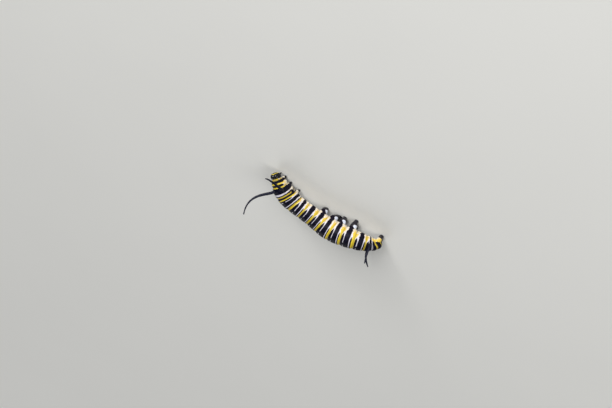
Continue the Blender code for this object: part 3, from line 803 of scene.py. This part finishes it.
def painted_bands(mesh, points, station, limbs):
    """Paints what places the bands: leaning distance behind the neck, angle down the side, and limits."""
    _, above, angle = body_places(points, station)
    band_at = band_station(station, above)
    band_at -= np.interp(station, *zip(*UPRIGHT)) * (above - LEAN_LEVEL * girth_at(station))
    down = np.abs(angle)
    tail_flank = np.clip((band_at - TAIL_FLANK_START) / 0.4, 0, 1)
    tail_flank = tail_flank * np.clip((down - 76) / 10, 0, 1) * np.clip((128 - down) / 8, 0, 1)
    leg_share = np.max([
        hump(np.maximum(0.0, limb_field(points, piece)), 0.0, 0.12)
        * np.clip(((points - piece["start"]) @ piece["axis"] - STUB_DEPTH - 0.1) / 0.3, 0, 1)
        for piece in limbs
    ], axis=0)
    to_fold = np.abs(band_at[:, None] - SEGMENT_ENDS[1:-1]).min(1)
    paint(mesh, "band_mm", band_at)
    paint(mesh, "band_segment", np.interp(band_at, SEGMENT_ENDS, np.arange(len(SEGMENT_ENDS))))
    paint(mesh, "down", down + FRONT_FADE * np.clip((FRONT_FADE_END - band_at) / 2, 0, 1))
    paint(mesh, "leg", leg_share)
    # Where painted shade falls, in the folds between segments
    paint(mesh, "fold", hump(to_fold, 0.0, FOLD_SHADE_WIDTH))
    for kind, limits in LIMITS.items():
        on_tail = TAIL_FLANK_LIMITS.get(kind, 0.0) * tail_flank
        paint(mesh, f"{kind}_limit", np.interp(down, *zip(*limits)) + on_tail)


def make_skin(material):
    """The whole skin: rough shapes made one even surface, settled onto the field, and painted with marks."""
    prolegs, collars = skin_limbs()
    limbs = [*prolegs.values(), *collars]
    points, quads = remeshed("rough_skin", *rough_skin(limbs), SKIN_VOXEL)
    points, station = settled(points, station_of(points), limbs)
    mesh = build_mesh("skin", points, [quads])
    painted_bands(mesh, points, station, limbs)
    spots, blots = leg_marks(prolegs)
    paint(mesh, "spot", spot_depth(points, spots))
    paint(mesh, "blot", spot_depth(points, blots))
    return add_piece("skin", mesh, material, "banded_skin", *SEGMENT_LENGTHS, *prolegs), points, station


def filament_path(name, count):
    """Root on the back, the way that the collar faces, and the filament's curved path from inside it."""
    segment, behind, degrees, _, first, second, tip = FILAMENTS[name]
    root, facing = on_side(SPANS[segment][0] + behind, degrees)
    axis = unit(facing + unit(np.array(first)))
    begin = root + axis * (SOCKET_STAND + GAP)
    leave = begin + axis * (np.linalg.norm(first) * FILAMENT_START)
    t = np.linspace(0, 1, count)[:, None]
    curve = begin * (1 - t) ** 3 + leave * (3 * t * (1 - t) ** 2)
    curve = curve + (root + second) * (3 * t * t * (1 - t)) + (root + tip) * t ** 3
    into = np.linspace(-FILAMENT_BASE, SOCKET_STAND + GAP, FILAMENT_STEPS[0], endpoint=False)
    base = root + axis * into[:, None]
    return root, axis, np.vstack([base, curve])


def make_filament(name, material):
    """A tapered tube, faintly ringed by two crossing waves of its thickness, with a rounded tip."""
    thickness = FILAMENTS[name][3]
    base, steps = FILAMENT_STEPS
    _, _, path = filament_path(name, steps)
    t = np.clip((np.arange(len(path)) - base) / (steps - 1), 0, 1)
    half = thickness / 2 * (1 + (FILAMENT_TIP / thickness - 1) * t ** FILAMENT_TAPER)
    run = np.concatenate([[0], np.cumsum(np.linalg.norm(np.diff(path, axis=0), axis=1))])
    half = half * (1 + sum(height * np.sin(run * 2 * np.pi / spacing) for height, spacing in FILAMENT_RINGS))
    half = half + FILAMENT_SWELL[0] * np.sin(run * FILAMENT_SWELL[1])
    to_tip = np.minimum(1, (run[-1] - run) / FILAMENT_ROUND)
    half = half * np.sqrt(np.clip(1 - (1 - to_tip) ** 2, 0.02, 1))
    normal = unit(np.cross(path[-1] - path[0], path[len(path) // 2] - path[0]))
    add_piece(name, build_mesh(name, *tube(path, half, 24, normal)), material, "filaments", name)


def make_true_leg(name, segment, place, side, material):
    """A horny leg of three joints: it swells between pinched rings on a bowed path, and ends in a claw."""
    hip, foot, level = leg_path(segment, place, side, TRUE_HIP_ANGLE)
    axis = unit(foot - hip)
    out = unit(unit(np.cross(axis, level)) * (1, 1, 0))
    bow = out * (TRUE_BULGE if out @ (hip - foot) > 0 else -TRUE_BULGE)
    share = np.linspace(0, 1, 90)
    t = share[:, None]
    path = (hip + axis * (TRUE_OFFSET - LEG_INSIDE)) * (1 - t) + foot * t + bow * np.sin(np.pi * t)
    half = np.interp(share, *zip(*LEG_STEPS))
    for ring in LEG_RINGS:
        half = half - LEG_PINCH[0] * hump(share, ring, LEG_PINCH[1])
        half = half + LEG_SWELL[0] * hump(share, ring - 0.05, LEG_SWELL[1])
    half[-len(LEG_TIP):] *= LEG_TIP
    bend = np.linspace(0, 1, 16)
    reach = unit(level - bow * 0.4)
    rise = (CLAW_HEIGHT * (1 - bend ** 2))[:, None]
    claw_path = foot + UP * rise + reach * (0.05 + CLAW_REACH * bend)[:, None]
    claw = tube(claw_path, CLAW_HALF * (1 - 0.85 * bend), 10, np.cross(reach, UP))
    points, faces = joined([tube(path, half, 28, level), claw])
    points[:, 2] = np.maximum(points[:, 2], 0.0)
    add_piece(name, build_mesh(name, points, faces), material, "true_legs", name)


def head_axes():
    """Centre, forward, left and up of the head, which tilts down from the neck."""
    forward, left, up = spine_axes(0.0)
    tilt = math.radians(HEAD_TILT)
    centre = spine_point(0.0) + forward * HEAD_CENTRE - up * HEAD_DROP
    ahead = forward * math.cos(tilt) - up * math.sin(tilt)
    return centre, ahead, left, up * math.cos(tilt) + forward * math.sin(tilt)


def head_offsets(azimuth, height):
    """Forward, left and up offsets: an egg with a cleft on top, grooved by sutures, flat at the mouth."""
    azimuth, height = np.broadcast_arrays(azimuth, height)
    ahead = np.cos(height) * np.cos(azimuth)
    aside = np.cos(height) * np.sin(azimuth)
    up = np.sin(height)
    depth = np.where(ahead > 0, HEAD_DEPTH_FRONT, HEAD_DEPTH_BACK)
    place = np.stack([ahead * depth, aside * HEAD_HALF_WIDTH, up * HEAD_HALF_HEIGHT], axis=-1)
    y, z = place[..., 1], place[..., 2]
    high = np.maximum(0.0, up - HEAD_CLEFT_START) / (1 - HEAD_CLEFT_START)
    pinch = HEAD_CLEFT * high * hump(y, 0.0, HEAD_CLEFT_WIDTH)
    pinch += SUTURE_DEPTHS[0] * hump(y, 0.0, SUTURE_WIDTH) * np.clip((z - FRONS_TOP) / 0.1, 0, 1)
    front = np.clip(ahead * 4, 0, 1) * (z < FRONS_TOP + 0.02)
    pinch += SUTURE_DEPTHS[1] * hump(frons_edge(y, z), 0.0, SUTURE_WIDTH) * front
    place = place * (1 - pinch)[..., None]
    over = place[..., 2] - ORAL_PLANE
    place[..., 2] = ORAL_PLANE + 0.5 * (over + np.sqrt(over ** 2 + MOUTH_ROUND))
    return place


def frons_edge(y, z):
    """Distance outside the two sides of the face's middle triangle, in mm seen from the front."""
    slope = FRONS_HALF / (FRONS_TOP - ORAL_PLANE)
    return (np.abs(y) - slope * (FRONS_TOP - z)) / math.hypot(1, slope)


def head_arches(place):
    """How deep each point lies in the pale marks: a chevron beside the triangle and an arch round it."""
    ahead, y, z = place[..., 0], place[..., 1], place[..., 2]
    beside = frons_edge(y, z) - CHEVRON_OUT * np.clip((FRONS_TOP - z) / 0.4, 0, 1)
    inner = np.where(z < FRONS_TOP + 0.3, CHEVRON_HALF - np.abs(beside), -1.0)
    ring = np.hypot(y / ARCH_WIDTH, (z + ARCH_DROP) / ARCH_HEIGHT)
    outer = np.where(z > -1.0, ARCH_HALF - np.abs(ring - 1) * 1.15, -1.0)
    return np.where(ahead > 0.08, np.maximum(inner, outer), -1.0)


def in_head(offsets):
    """Points in the model for forward, left and up offsets from the head's centre."""
    centre, *axes = head_axes()
    return centre + np.asarray(offsets) @ np.stack(axes)


def make_head(material):
    """The capsule as a grid of angles round and up, closed at both poles."""
    height = np.linspace(-np.pi / 2, np.pi / 2, 132)[1:-1]
    azimuth = np.linspace(0, 2 * np.pi, 240, endpoint=False)
    rows = head_offsets(azimuth[None, :], height[:, None])
    place, faces = closed(rows, *head_offsets(np.zeros(2), np.array([-np.pi / 2, np.pi / 2])))
    mesh = build_mesh("head_capsule", in_head(place), faces)
    paint(mesh, "arch", head_arches(place))
    add_piece("head_capsule", mesh, material, "head_capsule", "head")


def dome(centre, facing, half, rise):
    """A bead: rings of radius half * sin, at heights rise * cos along the way that it faces."""
    angle = np.linspace(0.04, np.pi - 0.04, 12)[:, None, None]
    across = unit(np.cross(facing, (0.31, 0.67, 0.42)))
    cos, sin = circle(16)
    ring = across * cos + np.cross(facing, across) * sin
    rows = centre + facing * (rise * np.cos(angle)) + ring * (half * np.sin(angle))
    return closed(rows, centre + facing * rise, centre - facing * rise, inside_out=True)


def make_eyes(material):
    """Six glassy beads on each side of the head."""
    centre = head_axes()[0]
    beads = []
    for side in SIDES.values():
        for azimuth, height in STEMMATA:
            spot = in_head(head_offsets(side * math.radians(azimuth), math.radians(height)))
            outward = unit(spot - centre)
            beads.append(dome(spot - outward * STEMMA_SINK, outward, STEMMA_RADIUS, STEMMA_RADIUS * 0.8))
    add_piece("eyes", build_mesh("eyes", *joined(beads)), material, "mouthparts")


def feeler(root, reach, side, steps, sides):
    """A jointed feeler of the mouth: half thicknesses at shares of its length, along a straight run."""
    root, reach = np.multiply((root, reach), (1, side, 1))
    share = np.linspace(0, 1, 60)
    path = in_head(root + reach * share[:, None])
    return tube(path, np.interp(share, *zip(*steps)), sides, head_axes()[1])


def plate(ahead, aside, half_depth, half_width, length, end_share, notch, lean):
    """A flat lobe that hangs from the mouth: narrowing rings, with a notch in the lower edge's middle."""
    down = np.linspace(0, 1, 40)[:, None]
    cos, sin = (part.T for part in circle(48))
    rounding = np.sqrt(np.clip(1 - ((down - 0.82) / 0.18).clip(0) ** 2, 0.02, 1))
    wide = (1 - (1 - end_share) * down ** 1.5) * rounding
    y = half_width * wide * np.sign(cos) * np.abs(cos) ** 0.8
    x = half_depth * wide * sin + lean * down ** 2
    z = MOUTH_TOP - length * down + notch * down ** 3 * hump(y, 0.0, 0.35 * half_width)
    rows = in_head(np.stack([ahead + x, aside + y, z], axis=-1))
    return closed(rows, rows[0].mean(0), rows[-1].mean(0), inside_out=True)


def make_mouthparts(material, soft):
    """Labrum, mandibles, antennae, and the labium with its spinneret and palps."""
    pieces = {name: [plate(*sizes)] for name, sizes in PLATES.items()}
    for side_name, side in SIDES.items():
        pieces[f"antenna_{side_name}"] = [feeler(*ANTENNA, side, ANTENNA_STEPS, 20)]
        pieces["labium"].append(feeler(*PALP, side, PALP_STEPS, 16))
    pieces["labium"].append(feeler(*SPINNERET, 1, SPINNERET_STEPS, 14))
    for name, shapes in pieces.items():
        finish = soft if "antenna" in name else material
        add_piece(name, build_mesh(name, *joined(shapes)), finish, "mouthparts", name)


def ring_plate(centre, facing, forward):
    """A low oval rim round a sunken slit: a profile of heights carried round an ellipse."""
    share, rise = np.array(RING_PROFILE).T[:, :, None, None]
    cos, sin = circle(28)
    oval = forward * (RING_HALF[0] * cos) + unit(np.cross(facing, forward)) * (RING_HALF[1] * sin)
    return closed(centre + share * oval + facing * rise, centre - facing * 0.12, centre - facing * 0.02)


def make_spiracles(material, limbs):
    """An oval breathing ring on each flank of nine segments, set on the settled skin."""
    middles = np.repeat([sum(SPANS[segment]) / 2 for segment in RING_SEGMENTS], len(SIDES))
    angles = [side * RING_ANGLE for side in SIDES.values()] * len(RING_SEGMENTS)
    roots, facings = zip(*(on_side(middle, angle) for middle, angle in zip(middles, angles)))
    roots, _ = settled(np.array(roots), station_of(np.array(roots)), limbs)
    places = zip(roots, facings, spine_forward(middles))
    rings = [ring_plate(root + facing * 0.01, facing, ahead) for root, facing, ahead in places]
    add_piece("breathing_rings", build_mesh("breathing_rings", *joined(rings)), material, "banded_skin")


def spikes(roots, directions, lengths, halves, sides, rings, droop=0.0):
    """Many thin spikes at once: narrowing rings on lines that droop by a share, closed at both ends."""
    directions = unit(directions)
    across = unit(np.cross(directions, np.array([0.37, 0.51, 0.78])))
    cos, sin = circle(sides)
    ring = across[:, None] * cos + np.cross(directions, across)[:, None] * sin
    share = np.linspace(0, 1, rings + 1)[:, None]
    length = lengths[:, None, None]
    centre = roots[:, None] + directions[:, None] * length * share - UP * (droop * length * share ** 2)
    half = halves[:, None, None] * (1 - share[:-1])
    rows = centre[:, :-1, None] + ring[:, None] * half[..., None]
    count = len(roots)
    points = np.concatenate([rows.reshape(count, -1, 3), roots[:, None], centre[:, -1:]], axis=1)
    first = (np.arange(count) * points.shape[1])[:, None, None]
    faces = [(some[None] + first).reshape(-1, some.shape[1]) for some in closed_faces(rings, sides)]
    return points.reshape(-1, 3), faces


def tuft_map(mesh, centres, corners_each):
    """A UV map that gives each bristle a small patch at its own place."""
    layer = mesh.uv_layers.new(name="OFBake")
    rng = np.random.default_rng(PATCH_SEED)
    loops = np.empty(len(mesh.loops), np.int32)
    mesh.loops.foreach_get("vertex_index", loops)
    spread = rng.uniform(-PATCH_HALF, PATCH_HALF, (len(loops), 2))
    layer.data.foreach_set("uv", (centres[loops // corners_each] + spread).astype(np.float32).ravel())


def make_bristles(skin, points, station, material):
    """Short stiff hairs on the skin, leaning back. Their UV patches lie by place along and angle round it."""
    rng = np.random.default_rng(BRISTLE_SEED)
    normals = np.empty(len(points) * 3, np.float32)
    skin.data.vertex_normals.foreach_get("vector", normals)
    chosen = rng.choice(np.flatnonzero(points[:, 2] > BRISTLE_LOWEST), BRISTLES, replace=False)
    normals = normals.reshape(-1, 3)[chosen].astype(float)
    points, station = points[chosen], station[chosen]
    directions = normals - spine_forward(station) * BRISTLE_LEAN
    directions = directions + rng.normal(0, BRISTLE_SPREAD, (BRISTLES, 3))
    lengths = rng.uniform(*BRISTLE_LENGTHS, BRISTLES)
    halves = rng.uniform(*BRISTLE_HALVES, BRISTLES)
    shape = spikes(points - normals * 0.02, directions, lengths, halves, 3, 2)
    mesh = build_mesh("bristles", *shape)
    angle = body_places(points, station)[2]
    unwrapped = np.stack([(station + 2) / (BODY_LENGTH + 4), (angle + 180) / 360], axis=1)
    tuft_map(mesh, 0.02 + 0.96 * unwrapped, len(shape[0]) // BRISTLES)
    add_piece("bristles", mesh, material, "banded_skin")


def make_foot_hooks(prolegs, material):
    """A row of tiny hooks on the inner half of each proleg's sole, just clear of the floor."""
    shapes = []
    turn = np.linspace(-1.3, 1.3, HOOKS)[:, None]
    for piece in prolegs.values():
        foot = piece["start"] + piece["axis"] * (piece["length"] - 1.0)
        inward = unit((spine_point(station_of(foot[None]))[0] - foot) * (1, 1, 0))
        ring = inward * np.cos(turn) + np.cross(UP, inward) * np.sin(turn)
        roots = foot * (1, 1, 0) + ring * HOOK_RING + UP * HOOK_HEIGHT
        lengths, halves = np.full(HOOKS, HOOK_LENGTH), np.full(HOOKS, HOOK_HALF)
        shapes.append(spikes(roots, ring * 0.9 - UP * 0.25, lengths, halves, 5, 4, 0.45))
    add_piece("foot_hooks", build_mesh("foot_hooks", *joined(shapes)), material, "banded_skin")


def fill(tree, sockets, values):
    """Gives each socket its value, or a link from another node's output."""
    for socket, value in zip(sockets, values):
        if isinstance(value, bpy.types.NodeSocket):
            tree.links.new(value, socket)
        else:
            socket.default_value = value


def add(tree, kind, values=(), output=None, **settings):
    """Adds a node with its settings, fills its sockets in order, and gives its named or first output."""
    node = tree.nodes.new(kind)
    for name, value in settings.items():
        setattr(node, name, value)
    fill(tree, [socket for socket in node.inputs if socket.enabled], values)
    return node.outputs[output] if output else next(socket for socket in node.outputs if socket.enabled)


def edge_share(tree, depth, blur, start=0.5):
    """Nought outside an edge and one inside it: depth over blur, plus the start, held between the two."""
    return add(tree, MATH, (depth, 1 / blur, start), operation="MULTIPLY_ADD", use_clamp=True)


def new_material(name):
    """A material with only a Principled shader and its output, and its node tree."""
    material = bpy.data.materials.new(name)
    material.use_nodes = True
    return material, material.node_tree


def shade(tree, sockets):
    """Fills the named sockets of a material's shader."""
    inputs = tree.nodes["Principled BSDF"].inputs
    fill(tree, [inputs[name] for name in sockets], sockets.values())


def band_stops(bands, start, length, unit_mm):
    """Ramp stops at each band's middle, holding how deep that place lies in each kind of band.

    Between two middles the depth runs straight through nought at their shared edge.
    """
    ends = np.array([end for _, end in bands])
    starts = np.concatenate([[start], ends[:-1]])
    stops = []
    for (_, end), begin in zip(bands, starts):
        middle = (begin + end) / 2
        depths = []
        for kind in BAND_KINDS:
            inside = [(s, e) for (name, e), s in zip(bands, starts) if name == kind]
            depth = max((min(middle - s, e - middle) for s, e in inside), default=-1.0)
            depths.append(0.5 + 0.5 * max(-1.0, min(1.0, depth * unit_mm)))
        stops.append(((middle - start) / length, depths))
    return stops


def band_ramp(tree, bands, start, end, unit_mm, place):
    """A colour ramp over the bands, read at the place, whose channels are depths in mm, halved, plus 0.5."""
    ramp = add(tree, "ShaderNodeValToRGB", (place,)).node
    stops = band_stops(bands, start, end - start, unit_mm)
    elements = ramp.color_ramp.elements
    for spare in range(len(stops) - len(elements)):
        elements.new((spare + 1) / (len(stops) + 1))
    for element, (position, depths) in zip(elements, stops):
        element.position = position
        element.color = depths
    return ramp


def band_depths(tree, band_mm, wandering_mm, wandering_segment):
    """How deep the place lies in each kind of band, in mm, from one ramp each for front, middle and tail."""
    node = functools.partial(add, tree)
    front_end = FRONT_BANDS[-1][1]
    tail_start = SPANS["abdomen_7"][0]
    middle_ends = np.cumsum([share for _, share in SEGMENT_BANDS])
    middle_bands = [(kind, end) for (kind, _), end in zip(SEGMENT_BANDS, middle_ends)]
    front_place = node(MATH, (wandering_mm, front_end), operation="DIVIDE")
    middle_place = node(MATH, (wandering_segment,), operation="FRACT")
    behind = node(MATH, (wandering_mm, tail_start), operation="SUBTRACT")
    tail_place = node(MATH, (behind, BODY_LENGTH - tail_start), operation="DIVIDE")
    front = band_ramp(tree, FRONT_BANDS, 0.0, front_end, 1.0, front_place)
    colours, line = front.outputs["Color"], front.outputs["Alpha"]
    for ramp, start in (
        (band_ramp(tree, middle_bands, 0.0, 1.0, MIDDLE_SEGMENT, middle_place), front_end),
        (band_ramp(tree, TAIL_BANDS, tail_start, BODY_LENGTH, 1.0, tail_place), tail_start),
    ):
        past = node(MATH, (band_mm, start), operation="GREATER_THAN")
        colours = node(MIX, (past, colours, ramp.outputs["Color"]), data_type="RGBA")
        line = node(MIX, (past, line, ramp.outputs["Alpha"]))
    channels = node("ShaderNodeSeparateColor", (colours,)).node.outputs
    return {
        kind: node(MATH, (halved, 2.0, -1.0), operation="MULTIPLY_ADD")
        for kind, halved in zip(BAND_KINDS, (*channels, line))
    }


def skin_material():
    """Larval skin: a thin satin cuticle over soft flesh, evenly coloured in bands, with fine creasing."""
    material, tree = new_material("larval_skin")
    node = functools.partial(add, tree)
    names = ["band_mm", "band_segment", "down", "fold", *MARKS, *(f"{kind}_limit" for kind in LIMITS)]
    painted = {name: node(ATTRIBUTE, output="Fac", attribute_name=name) for name in names}
    band_mm, band_segment, down, fold = (painted[name] for name in names[:4])
    place = node(PLACE, output="Object")
    noises = {name: node(NOISE, (place, 1 / (size * MM), detail)) for name, (size, detail) in NOISES.items()}
    # Band edges wander by up to 0.05 mm high on the side, and by 0.25 mm where its folds pucker
    ragged = node(MATH, (noises["wander"], 0.5), operation="SUBTRACT")
    pucker = node(MAP_RANGE, (down, *PUCKER))
    shift = node(MATH, (ragged, pucker), operation="MULTIPLY")
    wandering_mm = node(MATH, (band_mm, shift), operation="ADD")
    wandering_segment = node(MATH, (shift, 1 / MIDDLE_SEGMENT, band_segment), operation="MULTIPLY_ADD")
    depths = band_depths(tree, band_mm, wandering_mm, wandering_segment)
    # Low on the flank the yellow breaks into stains
    stain = node(MATH, (noises["stain"], 0.5), operation="SUBTRACT")
    stained = node(MAP_RANGE, (down, *STAINED))
    share = {}
    for kind, depth in depths.items():
        inside = node(MATH, (depth, painted[f"{kind}_limit"]), operation="SUBTRACT")
        if kind == "yellow":
            inside = node(MATH, (stain, stained, inside), operation="MULTIPLY_ADD")
        share[kind] = edge_share(tree, inside, BAND_BLUR)
    for name, (raggedness, blur, start) in MARKS.items():
        edge = node(MATH, (ragged, raggedness, painted[name]), operation="MULTIPLY_ADD")
        share[name] = edge_share(tree, edge, blur, start)
    # Towards the top of the back the black on the white line's two sides closes over it
    off_line = node(MATH, (1.0, share["line"]), operation="SUBTRACT")
    closing = node(MATH, (edge_share(tree, depths["line"], CLOSING_BLUR), off_line), operation="MULTIPLY")
    dark = share["wide"]
    for more in (share["narrow"], closing, share["leg"], share["blot"]):
        dark = node(MATH, (dark, more), operation="MAXIMUM")
    # The spots are white on any black
    off_spot = node(MATH, (1.0, share["spot"]), operation="SUBTRACT")
    dark = node(MATH, (dark, off_spot), operation="MULTIPLY")
    # Each colour changes from the back to the belly. The pale ones are flecked, spotted, and darkened by
    # painted shade in the folds
    low = node(MAP_RANGE, (down, *TO_LOW))
    # The white's darker lilac on the back is painted shade; its cream low on the flank is its own colour
    white, yellow, black = (
        node(MIX, (low, linear(high), linear(deep)), data_type="RGBA")
        for high, deep in ((WHITE_HIGH_SHADED, WHITE_LOW), (YELLOW_HIGH, YELLOW_LOW), (BLACK, BLACK_LOW))
    )
    cream = node(MAP_RANGE, (down, *TO_CREAM))
    yellow = node(MIX, (cream, yellow, linear(YELLOW_CREAM)), data_type="RGBA")
    pale = node(MIX, (share["yellow"], white, yellow), data_type="RGBA")
    flecks = node(MATH, (noises["flecks"], FLECK_SHARE), operation="MULTIPLY")
    fold = node(MATH, (fold, FOLD_SHADE_SHARE), operation="MULTIPLY")
    for cover, tint in ((flecks, FLECK_BROWN), (share["spot"], SPOT_WHITE), (fold, FOLD_SHADE_COLOUR)):
        pale = node(MIX, (cover, pale, linear(tint)), data_type="RGBA")
    sockets = {"Base Color": node(MIX, (dark, pale, black), data_type="RGBA")}
    for name, (on_black, bare, on_legs) in SHINE.items():
        shine = node(MATH, (dark, on_black, bare), operation="MULTIPLY_ADD")
        sockets[name] = node(MATH, (share["leg"], on_legs, shine), operation="MULTIPLY_ADD")
    # Creases along the bands, and a grain, drawn coarser than life so that they show
    creases = node(MATH, (noises["wander"], 0.5, band_mm), operation="MULTIPLY_ADD")
    creases = node(MATH, (creases, 2 * math.pi / CREASE_EVERY), operation="MULTIPLY")
    creases = node(MATH, (creases,), operation="SINE")
    height = node(MATH, (creases, CREASE_SHARE, noises["grain"]), operation="MULTIPLY_ADD")
    sockets["Normal"] = node(BUMP, (SKIN_BUMP, SKIN_BUMP_DEPTH * MM, BUMP_FILTER, height))
    shade(tree, sockets)
    return material


def horn_material(name, colour, roughness, grain_mm, depth_mm, sheen=0.3):
    """Hardened cuticle: smooth and glossy, with a fine netted grain."""
    material, tree = new_material(name)
    place = add(tree, PLACE, output="Object")
    net = add(tree, NET, (place, 1 / (grain_mm * MM)))
    tone = add(tree, NOISE, (place, 1 / (0.5 * MM), 3.0))
    base = linear(colour)
    lighter = [min(1.0, channel * 1.8 + 0.001) for channel in base[:3]] + [1.0]
    shade(tree, {
        "Base Color": add(tree, MIX, (tone, base, lighter), data_type="RGBA"),
        "Roughness": add(tree, MAP_RANGE, (tone, 0.0, 1.0, roughness * 0.7, roughness * 1.4)),
        "Specular IOR Level": sheen,
        "Normal": add(tree, BUMP, (HORN_BUMP, depth_mm * MM, BUMP_FILTER, net)),
    })
    return material


def head_material():
    """Black horn with two pale yellow arches, polished by its smooth growth."""
    material = horn_material("head_horn", HORN_BLACK, 0.16, 0.09, 0.005)
    tree = material.node_tree
    horn = tree.nodes["Principled BSDF"].inputs["Base Color"].links[0].from_socket
    arch = edge_share(tree, add(tree, ATTRIBUTE, output="Fac", attribute_name="arch"), ARCH_BLUR)
    shade(tree, {"Base Color": add(tree, MIX, (arch, horn, linear(ARCH_YELLOW)), data_type="RGBA")})
    return material


def floor_material():
    """Matt pale card, with a barely seen mottle."""
    material, tree = new_material("pale_card")
    mottle = add(tree, NOISE, (add(tree, PLACE, output="Object"), 1 / (40 * MM), 2.0))
    base = linear(FLOOR_PALE)
    darker = [channel * 0.97 for channel in base[:3]] + [1.0]
    shade(tree, {"Base Color": add(tree, MIX, (mottle, base, darker), data_type="RGBA"), "Roughness": 0.8})
    return material


def stand(name, data, right, up, backward, place):
    """Puts a camera or a light into the scene, at a place in mm, facing against its backward direction."""
    matrix = np.eye(4)
    matrix[:3] = np.stack([right, up, backward, place * MM], axis=1)
    obj = bpy.data.objects.new(name, data)
    obj.matrix_world = mathutils.Matrix(matrix.tolist())
    bpy.context.scene.collection.objects.link(obj)
    return obj


def make_camera():
    """A long lens at the photo's angle. Its right and up are the turned directions of the picture plane."""
    angle = math.radians(CAMERA_ELEVATION)
    turn = math.radians(CAMERA_TURN)
    backward = np.array([0.0, -math.cos(angle), math.sin(angle)])
    level = np.array([1.0, 0.0, 0.0])
    rise = np.array([0.0, math.sin(angle), math.cos(angle)])
    right = level * math.cos(turn) - rise * math.sin(turn)
    up = level * math.sin(turn) + rise * math.cos(turn)
    aim = level * (AIM_ALONG + SPINE_SHIFT[0]) + rise * (AIM_RISE + SPINE_SHIFT[1] * math.sin(angle))
    data = bpy.data.cameras.new("camera")
    data.lens = CAMERA_LENS
    data.sensor_width = CAMERA_SENSOR
    data.clip_start = 0.01
    distance = FRAME_WIDTH * CAMERA_LENS / CAMERA_SENSOR
    bpy.context.scene.camera = stand("camera", data, right, up, backward, aim + backward * distance)


def make_lights():
    """Soft square panels that all face the larva, under a pale even sky."""
    for name, (place, width, power) in LIGHTS.items():
        data = bpy.data.lights.new(name, "AREA")
        data.size = width * MM
        data.energy = power
        place = np.array(place)
        right = unit(np.cross(UP, place))
        light = stand(name, data, right, np.cross(unit(place), right), unit(place), place)
        light.visible_camera = False
    world = bpy.data.worlds.new("even_sky")
    world.use_nodes = True
    background = world.node_tree.nodes["Background"]
    background.inputs["Color"].default_value = linear(SKY_PALE)
    background.inputs["Strength"].default_value = SKY_STRENGTH
    bpy.context.scene.world = world
    bpy.context.scene.view_settings.view_transform = "Standard"


def make_floor(material):
    """A pale card three metres wide, so that its edge never shows."""
    corners = np.array([(-1.0, -1.0, 0.0), (1.0, -1.0, 0.0), (1.0, 1.0, 0.0), (-1.0, 1.0, 0.0)]) * FLOOR_HALF
    mesh = build_mesh("floor", corners, [np.array([[0, 1, 2, 3]])])
    floor = bpy.data.objects.new("floor", mesh)
    mesh.materials.append(material)
    bpy.context.scene.collection.objects.link(floor)


def main():
    """Sets the stage, and builds every piece."""
    make_camera()
    make_lights()
    make_floor(floor_material())
    horn = horn_material("leg_horn", HORN_BLACK, 0.2, 0.1, 0.012)
    brown = horn_material("jaw_horn", HORN_BROWN, 0.28, 0.12, 0.015)
    silk_black = horn_material("filament_cuticle", FILAMENT_BLACK, 0.4, 0.07, 0.02, 0.16)
    glass = horn_material("eye_glass", HORN_BLACK, 0.06, 0.3, 0.001, 0.5)
    prolegs, collars = skin_limbs()
    skin, points, station = make_skin(skin_material())
    make_head(head_material())
    make_eyes(glass)
    make_mouthparts(brown, horn)
    for side_name, side in SIDES.items():
        for number, (segment, place) in enumerate(TRUE_LEGS.items(), 1):
            make_true_leg(f"leg_{number}_{side_name}", segment, place, side, horn)
    for name in FILAMENTS:
        make_filament(name, silk_black)
    make_spiracles(horn, [*prolegs.values(), *collars])
    make_foot_hooks(prolegs, brown)
    make_bristles(skin, points, station, silk_black)


main()
